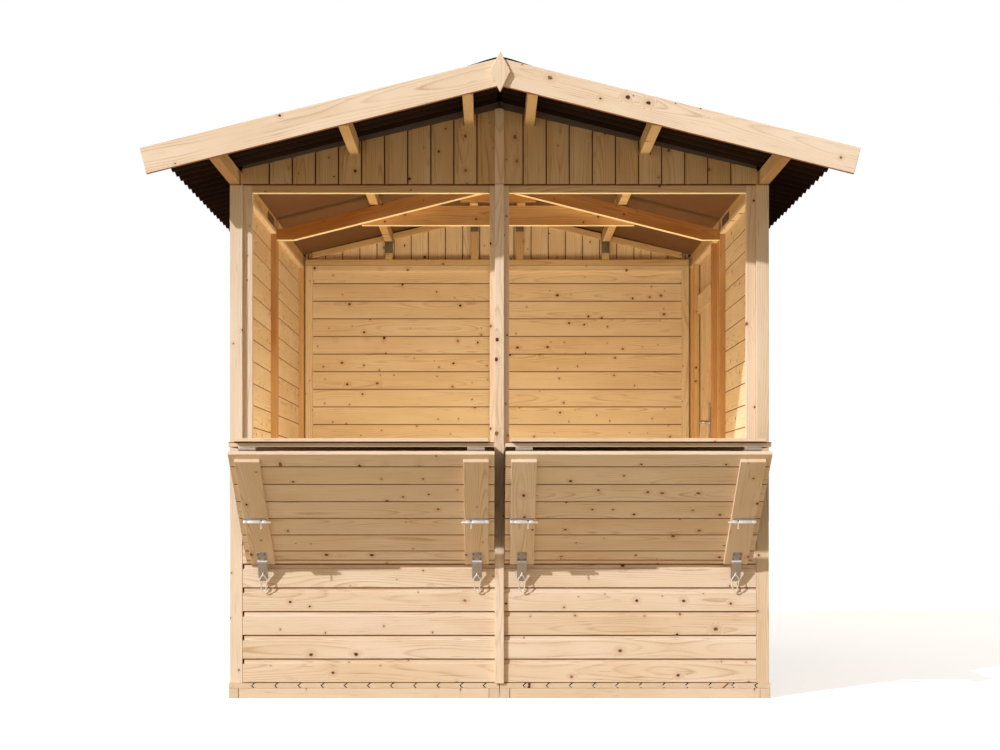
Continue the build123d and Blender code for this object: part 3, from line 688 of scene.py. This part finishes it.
def deckOutline(low, high, thick, lowJoint, highJoint):
    g, c, half, arrow, deep = deck["gap"] / 2, deck["chamfer"], thick / 2, deck["arrow"], deck["deep"]
    start = low + g - arrow if lowJoint else low
    end = high - g - arrow if highJoint else high
    points = [(start, 0, 0), (end, 0, deep * highJoint)]
    if highJoint:
        points += [(end + arrow, half, deep), (end + arrow * c / half, thick - c, deep)]
    points += [(end - c * highJoint, thick, 0), (start + c * lowJoint, thick, deep * lowJoint)]
    if lowJoint:
        points += [(start + arrow * c / half, thick - c, deep), (start + arrow, half, deep)]
    return [(v * mm, w * mm, d) for v, w, d in points]


whole = woodPart()
for low, high in boxesOf("floor_deck"):
    first = deck["leftFirst"] if high.x < 0 else deck["rightFirst"]
    edges = jointsBetween(-high.x / mm, -low.x / mm, first, deck["pitch"])
    place = axes((0, low.y, low.z + deck["lift"] * mm), alongY, -alongX, alongZ)
    boardUp(whole, edges, high.y - low.y, place, None, deckOutline, (high.z - low.z) / mm - deck["lift"])
placePiece(whole, "floor_deck", "deckSpruce")

leaves = {
    "slope": 43.3,
    "supportJoints": [63, 151, 239, 327, 415, 503, 554],    # down the sloping leaf
    "counter": (1078, 88),      # a joint and the boards' pitch
    "door": (-785, 88),
    "paintedEdgeShadow": 3.2,            # painted shadow along the top of the level leaves' front edges
    # how dark that painted shadow is
    "paintedEdgeShadowStrength": 1.0,
    "backDeep": 1.8,            # painted shade on the leaves' undersides, in the hollow behind them
}
leafDown = Vector((0, math.cos(math.radians(leaves["slope"])), -math.sin(math.radians(leaves["slope"]))))
leafIn = Vector((0, -leafDown.z, leafDown.y))     # from the sloping leaf's inner face into it
leafThick = walls["thick"] * mm

whole = woodPart()
for low, high in boxesOf("counter_leaves"):
    edges = jointsBetween(-high.y / mm, -low.y / mm, *leaves["counter"])
    boardUp(whole, edges, high.x - low.x, axes((low.x, 0, high.z), alongX, -alongY, -alongZ))
    edgeTop = high.z - leaves["paintedEdgeShadow"] * mm
    splitAt(whole, (0, 0, edgeTop), alongZ)
whole.normal_update()
paintShading(whole, leaves["backDeep"], lambda face: face.normal.z < -0.9)
paintShading(whole, leaves["paintedEdgeShadowStrength"],
           lambda face: face.normal.y < -0.9 and face.calc_center_median().z > edgeTop)
placePiece(whole, "counter_leaves", "planedSpruce")

whole = woodPart()
leafHeads = []      # where each sloping leaf's inner face starts
for low, high in boxesOf("support_leaves"):
    head = Vector((low.x, low.y, high.z - leafThick * leafIn.z))
    leafHeads.append(head)
    leafLength = (head.z - low.z) / -leafDown.z
    boardUp(whole, [0] + leaves["supportJoints"] + [leafLength / mm], high.x - low.x,
            axes(head, alongX, leafDown, leafIn))
placePiece(whole, "support_leaves", "planedSpruce")

whole = woodPart()
low, high = boxesOf("door_boards")[0]
boardUp(whole, jointsBetween(-high.y / mm, -low.y / mm, *leaves["door"]), high.z - low.z,
        axes((low.x, 0, low.z), alongZ, -alongY, alongX))
placePiece(whole, "door_boards", "planedSpruce", body="door")
print("leaves and deck boarded")

roof = {
    "angle": 14.0,
    "thick": 3.0,
    "middle": 19.0,          # centre of the corrugation above the valley line
    "swing": 16.1,           # half its height, at the middle of the sheet
    "waves": 26,             # between the outer faces of the gables
    "waveSteps": 16,
    "laps": (-6, 6),         # crests where one sheet laps the next
    "lapDrop": 3.2,
    "lapFade": (1.5, 1.4),   # waves until the drop starts to fade, and how fast
    "slopeSteps": 10,
    "waviness": 0.9,
    "wavinessAt": 38.0,      # its full amount this high above the valley line
}
roofTurn = math.radians(roof["angle"])
crest = (roof["middle"] + roof["swing"] + roof["thick"] / 2) * mm
liningBox = boxesOf("roof_lining")
ridgeZ = max(high.z for low, high in liningBox) + math.tan(roofTurn) * mm
wavePitch = (liningBox[0][1].y - liningBox[0][0].y + walls["thick"] * mm) / roof["waves"]


def onRoof(side, down, y, up):   # a point down the slope, along the ridge and out of the roof, metres
    return Vector((side * (down * math.cos(roofTurn) + up * math.sin(roofTurn)), y,
                   ridgeZ - down * math.sin(roofTurn) + up * math.cos(roofTurn)))


def skin(part, rings, closed=False):   # faces between rings of points; returns the two that close a tube
    for near, far in zip(rings, rings[1:] + (rings[:1] if closed else [])):
        for k in range(len(near)):
            part.faces.new((near[k - 1], near[k], far[k], far[k - 1]))
    return [] if closed else [part.faces.new(ring) for ring in (rings[0], rings[-1])]


def sheetOutline(start, end, lapped):
    # closed section of one sheet, along the ridge and out of the roof, metres; a lapped start lies lower
    steps = round((end - start) / wavePitch * roof["waveSteps"])
    upper, lower = [], []
    for i in range(steps + 1):
        y = start + (end - start) * i / steps
        turn = 2 * math.pi * y / wavePitch
        rise = -roof["swing"] * mm * math.sin(turn) * 2 * math.pi / wavePitch
        out = Vector((-rise, 1)).normalized()
        still, fade = roof["lapFade"]
        drop = min(1, max(0, still - (y - start) / wavePitch * fade)) * roof["lapDrop"] * mm * lapped
        centre = Vector((y, (roof["middle"] + roof["swing"] * math.cos(turn)) * mm)) - out * drop
        upper.append(centre + out * roof["thick"] * mm / 2)
        lower.append(centre - out * roof["thick"] * mm / 2)
    return upper + lower[::-1]


for side, node, pieceName in ((-1, "roof_sheet_left", "roofSheetsLeft"),
                              (1, "roof_sheet_right", "roofSheetsRight")):
    low, high = boxesOf(node)[0]
    start, end = [x / math.cos(roofTurn) for x in sorted((abs(low.x), abs(high.x)))]
    end -= crest * math.tan(roofTurn)
    laps = [number * wavePitch for number in roof["laps"]]
    quarter = wavePitch / 4
    whole = bmesh.new()
    for k, (y0, y1) in enumerate(((low.y, laps[0] + quarter), (laps[0] - quarter, laps[1] + quarter),
                                  (laps[1] - quarter, high.y))):
        outline = sheetOutline(y0, y1, k > 0)
        part = bmesh.new()
        rings = []
        for i in range(roof["slopeSteps"] + 1):
            down = start + (end - start) * i / roof["slopeSteps"]
            rings.append([])
            for y, up in outline:
                sway = noise.noise(Vector((down * 3, y * 2.2, side * 7))) * roof["waviness"]
                up += up * sway / roof["wavinessAt"]
                rings[-1].append(part.verts.new(onRoof(side, down, y, up)))
        skin(part, rings)
        bmesh.ops.recalc_face_normals(part, faces=part.faces)
        pour(part, whole)
    placePiece(whole, node, "bitumenSheet", 40, name=pieceName)

cap = {
    "half": 150.0,
    "round": 22.0,           # softening of the fold at the ridge
    "thick": 3.0,
    "lengths": 3,
    "lap": 110.0,
    "steps": 24,
}
capLow, capHigh = boxesOf("ridge_cap")[0]
capThick = cap["thick"] * mm
capFall = (capHigh.z - capThick - capLow.z) / (cap["half"] * mm)


def capUnder(x):   # height of the cap's underside
    soft = math.hypot(cap["half"], cap["round"]) * mm - math.hypot(x, cap["round"] * mm)
    return capLow.z + capFall * soft


whole = bmesh.new()
for k in range(cap["lengths"]):
    span = (capHigh.y - capLow.y) / cap["lengths"]
    y0 = capLow.y + k * span
    y1 = min(capHigh.y, y0 + span + cap["lap"] * mm)
    xs = [(2 * i / cap["steps"] - 1) * cap["half"] * mm for i in range(cap["steps"] + 1)]
    ring = [(x, capUnder(x)) for x in xs] + [(x, capUnder(x) + capThick) for x in xs[::-1]]
    lift = capThick if k < cap["lengths"] - 1 else 0
    part = bmesh.new()
    skin(part, [[part.verts.new((x, y, z + up)) for x, z in ring] for y, up in ((y0, 0), (y1, lift))])
    bmesh.ops.recalc_face_normals(part, faces=part.faces)
    pour(part, whole)
placePiece(whole, "ridge_cap", "bitumenSheet", 40)


def shift(x, y, z):   # millimetres
    return Matrix.Translation((x * mm, y * mm, z * mm))


def block(size, centre=(0, 0, 0), edge=0.5, steps=2):   # a bevelled block, millimetres
    part = bmesh.new()
    bmesh.ops.create_cube(part, size=mm, matrix=shift(*centre) @ Matrix.Diagonal((*size, 1)))
    easeEdges(part, part.edges, edge, steps)
    return part


def turned(profile, steps=20):   # radius and height, millimetres, turned about z
    part = bmesh.new()
    points = [part.verts.new((r * mm, 0, h * mm)) for r, h in profile]
    rims = [part.edges.new(pair) for pair in zip(points, points[1:])]
    bmesh.ops.spin(part, geom=points + rims, cent=(0, 0, 0), axis=alongZ, angle=2 * math.pi,
                   steps=steps, use_merge=True)
    bmesh.ops.remove_doubles(part, verts=part.verts, dist=0.01 * mm)
    bmesh.ops.recalc_face_normals(part, faces=part.faces)
    return part


def swept(path, radius, flat, sides=12, closed=False):
    # a round wire along a flat path, millimetres; flat is the path's normal
    part = bmesh.new()
    rings = []
    count = len(path)
    for i, point in enumerate(path):
        before = path[i - 1] if closed or i else path[0]
        after = path[(i + 1) % count] if closed or i < count - 1 else path[-1]
        aside = (Vector(after) - Vector(before)).normalized().cross(flat).normalized()
        turns = [2 * math.pi * k / sides for k in range(sides)]
        rings.append([part.verts.new((Vector(point) + radius * (aside * math.cos(turn)
                                                                + flat * math.sin(turn))) * mm)
                      for turn in turns])
    for end in skin(part, rings, closed):
        easeEdges(part, end.edges, radius * 0.35, clamp=False)
    bmesh.ops.recalc_face_normals(part, faces=part.faces)
    return part


def arc(centre, radius, start, end, steps):   # points on a circle in x and z, degrees
    turns = [math.radians(start + (end - start) * i / steps) for i in range(steps + 1)]
    return [(centre[0] + radius * math.cos(turn), 0, centre[1] + radius * math.sin(turn)) for turn in turns]


def setIn(part, whole, place):
    bmesh.ops.transform(part, matrix=place, verts=part.verts)
    pour(part, whole)


screw = {"radius": 3.6, "foot": -0.3, "edge": 0.1, "rise": 0.7, "socket": 1.4, "depth": 1.0, "narrow": 0.85}


def screwsAt(whole, place, across, up, out=0, scale=1.0):   # heads on a face z = out, in rows and columns
    s = screw
    floor = s["rise"] - s["depth"]
    profile = [(s["radius"], s["foot"]), (s["radius"], s["edge"]), (s["radius"] * s["narrow"], s["rise"]),
               (s["socket"], s["rise"]), (s["socket"] * s["narrow"], floor), (0, floor)]
    for x in across:
        for y in up:
            head = turned(profile, 12)
            bmesh.ops.scale(head, vec=(scale, scale, scale), verts=head.verts)
            setIn(head, whole, place @ shift(x, y, out))


def onLeaf(x, down, through):   # a point of the sloping leaves, metres down from the head and inwards
    spot = leafHeads[0] + leafDown * down + leafIn * through
    spot.x = x
    return spot


def onBattens(x, down):   # a place on the sloping leaves' battens, y up the leaf and z out of it
    return axes(onLeaf(x, down, -leafThick), alongX, -leafDown, -leafIn)


lieAlongX = Matrix.Rotation(math.pi / 2, 4, "Y")


def knuckles(whole, place, radius, length, number, gap=0.5, ease=0.4):   # hinge rings on a pin, along x
    each = (length - gap * (number - 1)) / number
    narrow, half = radius * 0.9, length / 2
    for k in range(number):
        ring = turned([(0, 0), (narrow, 0), (radius, ease), (radius, each - ease), (narrow, each),
                       (0, each)], 24)
        setIn(ring, whole, place @ shift(k * (each + gap) - half, 0, 0) @ lieAlongX)
    pin = turned([(0, -half), (radius * 0.5, -half), (radius * 0.5, half), (0, half)], 16)
    setIn(pin, whole, place @ lieAlongX)


hinge = {"width": 60.0, "steel": 1.5, "barrel": 5.0, "upper": 34.0, "lower": 30.0, "sillBarrel": 4.0,
         "rings": 5, "overlap": 6.0, "screws": ((-20, 20), (9, 22))}
wide, steel = hinge["width"], hinge["steel"]
whole = bmesh.new()
for low, high in boxesOf("shutter_hinges"):
    x, y, z = (low + high) / 2
    if high.z - low.z < 0.01:      # at the sill
        knuckles(whole, Matrix.Translation((x, y, z)), hinge["sillBarrel"], wide, hinge["rings"])
        continue
    y = low.y + hinge["barrel"] * mm
    head = onLeaf(x, 0, leafThick)
    z = (high.z + head.z) / 2
    knuckles(whole, Matrix.Translation((x, y, z)), hinge["barrel"], wide, hinge["rings"])
    under, back = Matrix.Translation((x, y, high.z)), axes(head, alongX, leafDown, leafIn)
    fall, rise = (high.z - z) / mm, (z - head.z) / mm
    for place, size, centre in (
            (under, (wide, hinge["upper"], steel), (0, hinge["upper"] / 2, -steel / 2)),
            (under, (wide, steel, fall), (0, steel / 2, -fall / 2)),
            (back, (wide, hinge["lower"], steel), (0, hinge["lower"] / 2, steel / 2)),
            (Matrix.Translation((x, y, head.z)), (wide, steel, rise + hinge["overlap"]),
             (0, steel / 2, rise / 2))):
        setIn(block(size, centre), whole, place)
    screwsAt(whole, back, *hinge["screws"], steel, 0.8)
placePiece(whole, "shutter_hinges", "dullZinc", 35)

bolt = {"plate": (84.0, 30.0, 2.0), "along": 320.0, "aside": 8.0, "housing": 4.9, "rod": 3.6,
        "rodLength": 100.0, "rodAt": 8.0, "rodUp": 7.5, "tubes": ((-42, -26.6), (-25.4, 19.5), (26.5, 42)),
        "knobAt": 23.0, "knob": 1.9, "knobReach": 24.0, "screws": ((-37, 37), (-11, 11))}
whole, plates = bmesh.new(), bmesh.new()
for low, high in boxesOf("barrel_bolts"):
    centre = (low + high) / 2
    inward = (1 if min(abs(low.x), abs(high.x)) < 0.5 else -1) * (1 if centre.x > 0 else -1)
    place = onBattens(centre.x - inward * bolt["aside"] * mm, bolt["along"] * mm)
    setIn(block(bolt["plate"], (0, 0, bolt["plate"][2] / 2), 0.8), plates, place)
    up, wide = bolt["rodUp"], 2 * bolt["housing"]
    for reach in bolt["tubes"]:
        start, end = sorted(inward * x for x in reach)
        setIn(swept([(start, 0, up), (end, 0, up)], bolt["housing"], alongY, 24), whole, place)
        setIn(block((end - start, wide, up), ((start + end) / 2, 0, up / 2), 0.3), whole, place)
    ends = [inward * (bolt["rodAt"] + k * bolt["rodLength"] / 2) for k in (-1, 1)]
    setIn(swept([(x, 0, up) for x in ends], bolt["rod"], alongY, 20), whole, place)
    k, h = bolt["knob"], bolt["knobReach"]
    knob = turned([(0, 0), (k, 0), (k, h - 7), (k + 1, h - 6), (k + 1.4, h - 3), (k + 0.6, h - 0.5), (0, h)])
    hanging = Matrix.Rotation(math.radians(leaves["slope"]), 4, "X")
    setIn(knob, whole, place @ shift(inward * bolt["knobAt"], 0, up) @ hanging)
    screwsAt(plates, place, *bolt["screws"], bolt["plate"][2], 0.7)
placePiece(whole, "barrel_bolts", "brightZinc", 35)
placePiece(plates, "bolt_plates", "greyZinc", 35)

hasp = {"width": 36.0, "fixed": 43.0, "steel": 2.0, "barrel": 4.0, "hanging": 80.0, "taper": 15.0,
        "lean": 24.0, "aboveFoot": 36.0, "seat": 0.3, "rings": 3, "screws": ((-12, 12), (9, 35)),
        "staple": 0.6, "stapleRound": 5.0, "stapleWire": 1.4}
hook = {"wire": 2.3, "shoulder": 13.6, "shoulderDown": 26.0, "shoulderRound": 5.0, "foot": 8.4,
        "length": 72.0, "tip": 3.2, "lean": 18.0, "down": 0.56, "collarDown": 52.0, "collarLean": 7.0}


def leaning(origin, lean):   # x across, y up and z out of a plate that leans back to the wall
    turn = math.radians(lean)
    return axes(origin, alongX, Vector((0, -math.sin(turn), math.cos(turn))),
                Vector((0, -math.cos(turn), -math.sin(turn))))


whole, plates, hooks, pins, screws = [bmesh.new() for k in range(5)]
for low, high in boxesOf("hasps"):
    place = onBattens((low.x + high.x) / 2, leafLength - hasp["aboveFoot"] * mm)
    steel, half, drop, taper = hasp["steel"], hasp["width"] / 2, hasp["hanging"], hasp["taper"]
    setIn(block((2 * half, hasp["fixed"], steel), (0, hasp["fixed"] / 2, steel / 2), 0.7), plates, place)
    screwsAt(screws, place, *hasp["screws"], steel, 0.8)
    barrel = place @ (Vector((0, 1 - hasp["barrel"], hasp["barrel"] + hasp["seat"])) * mm)
    knuckles(pins, Matrix.Translation(barrel), hasp["barrel"], 2 * half, hasp["rings"])
    outline = [(-half, 0), (half, 0), (half, taper - drop), (half * 0.72, 3.5 - drop), (half * 0.35, -drop),
               (-half * 0.35, -drop), (-half * 0.72, 3.5 - drop), (-half, taper - drop)]
    flap = bmesh.new()
    face = flap.faces.new([flap.verts.new((u * mm, v * mm, mm)) for u, v in outline])
    grown = bmesh.ops.extrude_face_region(flap, geom=[face])
    bmesh.ops.translate(flap, vec=alongZ * steel * mm,
                        verts=[g for g in grown["geom"] if isinstance(g, bmesh.types.BMVert)])
    bmesh.ops.recalc_face_normals(flap, faces=flap.faces)
    easeEdges(flap, flap.edges, 0.6, clamp=False)
    hang = leaning(barrel, hasp["lean"])
    setIn(flap, whole, hang)
    out, r = 1 + steel, hasp["stapleRound"]
    bow = [(0, r * math.cos(math.pi * i / 10) - hasp["staple"] * drop, out + r * math.sin(math.pi * i / 10))
           for i in range(11)]
    setIn(swept(bow, hasp["stapleWire"], alongX, 10), hooks, hang)

    top = hang @ (Vector((0, -hook["down"] * drop, out + hook["wire"] + 0.4)) * mm)
    t, s, d, f, r = [hook[size] for size in ("tip", "shoulder", "shoulderDown", "foot", "shoulderRound")]
    path = arc((0, -6.3 - t), t, 30, 150, 6) + arc((r - s, -d), r, 150, 187, 5)
    path += arc((0, f - hook["length"]), f, 187, 353, 12) + arc((s - r, -d), r, -7, 30, 5)
    upright = leaning(top, hook["lean"]) @ Matrix.Rotation(-math.pi / 2, 4, "X")      # z of the path is up
    setIn(swept(path, hook["wire"], alongY, 12, closed=True), hooks, upright)
    stem = turned([(0, -2), (1.8, -1), (2.2, 2), (2.2, 8), (1.2, 10), (0, 10)], 12)
    setIn(stem, hooks, upright @ shift(0, 0, -10))
    collar = turned([(0, 0), (3.2, 0), (3.2, 11), (0, 11)], 14)
    aslant = Matrix.Rotation(math.radians(hook["collarLean"]), 4, "Y")
    setIn(collar, hooks, upright @ shift(1.6 - s, 0, -hook["collarDown"]) @ aslant)
placePiece(whole, "hasps", "zincPlatedSteel", 35)
placePiece(plates, "hasp_plates", "greyZinc", 35)
placePiece(pins, "hasp_pins", "brightZinc", 35)
placePiece(screws, "hasp_screws", "blackScrew", 35)
placePiece(hooks, "snap_hooks", "brightZinc", 50)
print("shutter metalwork made")


def easeSolids(node, edge=0.5):   # the CAD solids of a node with their sharp edges broken
    whole = bmesh.new()
    for solid in solidsOf(node):
        sharp = [e for e in solid.edges if len(e.link_faces) == 2 and e.calc_face_angle() > 0.6]
        easeEdges(solid, sharp, edge)
        pour(solid, whole)
    return whole


faceRight = (alongY, alongZ, alongX)      # x along +Y, y up, z out to +X
faceLeft = (-alongY, alongZ, -alongX)

strap = {"steel": 3.0, "rivets": (24, 95, 165, 235, 262), "plateScrews": ((-12, -36), (-40, -13, 13, 40)),
         "rivet": [(0, 4.2), (4, 3.6), (6.6, 1.6), (7, 0), (0, 0)]}
whole = easeSolids("door_hinge_straps")
for low, high in boxesOf("door_hinge_straps"):
    place = axes((low.x + strap["steel"] * mm, low.y, (low.z + high.z) / 2), *faceRight)
    for along in strap["rivets"]:
        setIn(turned(strap["rivet"], 18), whole, place @ shift(along, 0, 0))
placePiece(whole, "door_hinge_straps", "zincPlatedSteel", 35, "door")

whole = easeSolids("door_hinge_plates")
for low, high in boxesOf("door_hinge_plates"):
    place = axes((low.x + strap["steel"] * mm, high.y, (low.z + high.z) / 2), *faceRight)
    screwsAt(whole, place, *strap["plateScrews"])
placePiece(whole, "door_hinge_plates", "zincPlatedSteel", 35)

handle = {"plate": (40.0, 220.0, 4.0), "case": 24.0, "caseInset": 20.0, "neck": 6.5, "leverGrowth": 0.5,
          "rose": 15.0, "reach": 34.0, "bend": 12.0, "length": 97.0, "keyhole": -72.0, "centreUp": 20.0,
          "spindleUp": 130.0, "screws": (80, -120)}
wide, tall, t = handle["plate"]
neck, bend, drop, reach = handle["neck"], handle["bend"], handle["centreUp"], t + handle["reach"]
rose = [(handle["rose"], t), (handle["rose"] - 1, t + 2.5), (neck + 2, t + 4), (neck, t + 6), (0, t + 6)]
keyhole = [(8.5, t), (8.5, t + 1.2), (7.6, t + 1.7), (2.3, t + 1.7), (2.0, t - 1), (0, t - 1)]
whole = bmesh.new()
for low, high in boxesOf("door_handles"):
    outside = low.x > 1.0
    face = low.x if outside else high.x - handle["case"] * mm
    place = axes((face, low.y + wide * mm / 2, low.z + handle["spindleUp"] * mm),
                 *(faceRight if outside else faceLeft))
    setIn(block(handle["plate"], (0, -drop, t / 2), 1.6, 3), whole, place)
    if not outside:
        size = (wide, tall - 2 * handle["caseInset"], handle["case"])
        setIn(block(size, (0, -drop, -handle["case"] / 2), 1.0), whole, place)
    setIn(turned(rose, 28), whole, place)
    swing = 1 if outside else -1
    path = [(0, 0, t)] + [(swing * bend * (1 - math.cos(turn)), 0, reach - bend * (1 - math.sin(turn)))
                          for turn in [math.pi / 16 * i for i in range(9)]]
    path += [(swing * handle["length"], 0, reach)]
    setIn(swept(path, neck + handle["leverGrowth"], alongY, 18), whole, place)
    setIn(turned(keyhole, 24), whole, place @ shift(0, handle["keyhole"], 0))
    screwsAt(whole, place, [0], handle["screws"], t)
placePiece(whole, "door_handles", "zincPlatedSteel", 35, "door")

bracket = {"steel": 2.0, "nails": (range(-76, 78, 17), (-10, 0, 10)), "nailSize": 0.55,
           "across": (-11, 11), "wallScrews": (16, 34), "underScrews": [4], "screwSize": 0.9}
whole = easeSolids("roof_brackets", 0.3)
for low, high in boxesOf("roof_brackets"):
    x, y, z = (low + high) / 2
    if high.y - low.y > 0.1:      # nail plates on the eave purlins
        place = axes((high.x if x < 0 else low.x, y, z), *(faceRight if x < 0 else faceLeft))
        screwsAt(whole, place, *bracket["nails"], 0, bracket["nailSize"])
        continue
    toGable = -1 if y < 0 else 1
    wallY = (low.y if toGable < 0 else high.y) - toGable * bracket["steel"] * mm
    wall = axes((x, wallY, low.z), alongX * -toGable, alongZ, alongY * -toGable)
    below = axes((x, y, high.z - bracket["steel"] * mm), alongX, -alongY, -alongZ)
    screwsAt(whole, wall, bracket["across"], bracket["wallScrews"], 0, bracket["screwSize"])
    screwsAt(whole, below, bracket["across"], bracket["underScrews"], 0, bracket["screwSize"])
placePiece(whole, "roof_brackets", "galvanisedWithPaintedReflection", 35)
print("door and roof metalwork made")

nail = {"cap": 10.5, "height": 6.0, "waves": range(-18, 19, 2), "offCentre": 9.0, "capRow": 115.0}
wide, tall = nail["cap"], nail["height"]
dome = [(0, tall), (wide * 0.45, tall - 0.5), (wide * 0.8, 3.6), (wide, 1.2), (wide, -1.5), (0, -1.5)]
whole = bmesh.new()
rows = {round((low.x + high.x) / 2, 3) for low, high in boxesOf("middle_purlins") + boxesOf("eave_purlins")}
for x in sorted(rows):
    side = 1 if x > 0 else -1
    down = abs(x) / math.cos(roofTurn) - nail["offCentre"] * mm
    for wave in nail["waves"]:
        spot = onRoof(side, down, wave * wavePitch, crest)
        setIn(turned(dome, 16), whole, Matrix.Translation(spot) @ Matrix.Rotation(side * roofTurn, 4, "Y"))
for side in (-1, 1):
    x = nail["capRow"] * mm
    lean = Matrix.Rotation(side * math.atan(capFall), 4, "Y")
    for wave in nail["waves"]:
        spot = (side * x, wave * wavePitch, capUnder(x) + capThick)
        setIn(turned(dome, 16), whole, Matrix.Translation(spot) @ lean)
placePiece(whole, "roof_nails", "bitumenSheet", 50)

placePiece(easeSolids("roof_lining", 0.6), "roof_lining", "brownHardboard")
placePiece(easeSolids("verge_fillers", 0.6), "verge_fillers", "foamStrip")
print("roof finished")

view = {"place": (-0.0323, -6.705, 0.7233), "lens": 55.36, "shift": (0.0093, 0.1285)}
cameraData = bpy.data.cameras.new("studioCamera")
cameraData.lens = view["lens"]
cameraData.shift_x, cameraData.shift_y = view["shift"]
camera = newObject("studioCamera", cameraData)
camera.location = view["place"]
camera.rotation_euler = (math.radians(90), 0, 0)
bpy.context.scene.camera = camera

light = {
    "key": 3.0, "keySize": 0.9, "towards": (1.1, 1.0, -0.92),
    "sky": 0.165, "skyTint": "#fff3e2", "haze": 0.38, "zenith": 0.3,
    "floorTint": "#fbfbfa", "floorBounce": "#c4b496", "floorLift": 0.62, "floorRadius": 60,
    "glow": 40.0, "glowTint": "#fff4c4", "glowSize": (1.7, 1.3), "glowPlace": (0, -0.2, 0.1),
    "glowTilt": 27.0,
}
keyData = bpy.data.lights.new("keyLight", "SUN")
keyData.energy = light["key"]
keyData.angle = math.radians(light["keySize"])
keyLight = newObject("keyLight", keyData)
keyLight.rotation_euler = Vector(light["towards"]).to_track_quat("-Z", "Y").to_euler()

# light thrown up by the sunlit boards inside
glowData = bpy.data.lights.new("insideGlow", "AREA")
glowData.energy = light["glow"]
glowData.shape = "RECTANGLE"
glowData.size, glowData.size_y = light["glowSize"]
glowData.color = sRgb(light["glowTint"])[:3]
glow = newObject("insideGlow", glowData)
glow.location = light["glowPlace"]
glow.rotation_euler = (math.pi - math.radians(light["glowTilt"]), 0, 0)
glow.visible_camera = False

# a pale sky, brighter round the sun and overhead, and white to the camera
world = bpy.data.worlds.new("paleStudio")
bpy.context.scene.world = world
world.use_nodes = True
world.node_tree.nodes.clear()
add = partial(addNode, world.node_tree)
aim = add("TexCoord").outputs["Generated"]
towardsSun = (-Vector(light["towards"])).normalized()
facing = add("VectorMath", (aim, towardsSun), "DOT_PRODUCT")
sunSide = add("MapRange", (facing, 0.0, 1.0, light["sky"], light["sky"] + light["haze"]),
                  interpolation_type="SMOOTHSTEP")
upward = add("SeparateXYZ", [aim])
overhead = add("MapRange", (upward.outputs[2], 0.45, 1.0, 0.0, light["zenith"]))
total = add("Math", (sunSide, overhead), "ADD")
dim = add("Background", {"Color": light["skyTint"], "Strength": total})
white = add("Background", {"Color": "#ffffff", "Strength": 1.0})
either = add("MixShader", (add("LightPath"), dim, white))
add("OutputWorld", {"Surface": either})
bpy.context.scene.view_settings.view_transform = "Standard"

# the floor looks pale to the camera and throws back a softer, warmer light
floorMaterial, add = newMaterial("paleFloor")
seen = add("LightPath")
tint = add("Mix", {0: seen, 6: light["floorBounce"], 7: light["floorTint"]}, "RGBA")
lift = add("Math", (seen, light["floorLift"]), "MULTIPLY")
finishMaterial(floorMaterial, {"Base Color": tint, "Roughness": 0.9, "Emission Color": "#ffffff",
                               "Emission Strength": lift})
floorPart = bmesh.new()
bmesh.ops.create_circle(floorPart, cap_ends=True, segments=96, radius=light["floorRadius"])
floorMesh = bpy.data.meshes.new("studioFloor")
floorPart.to_mesh(floorMesh)
floorPart.free()
floorMesh.materials.append(floorMaterial)
newObject("studioFloor", floorMesh)
print("studio ready")
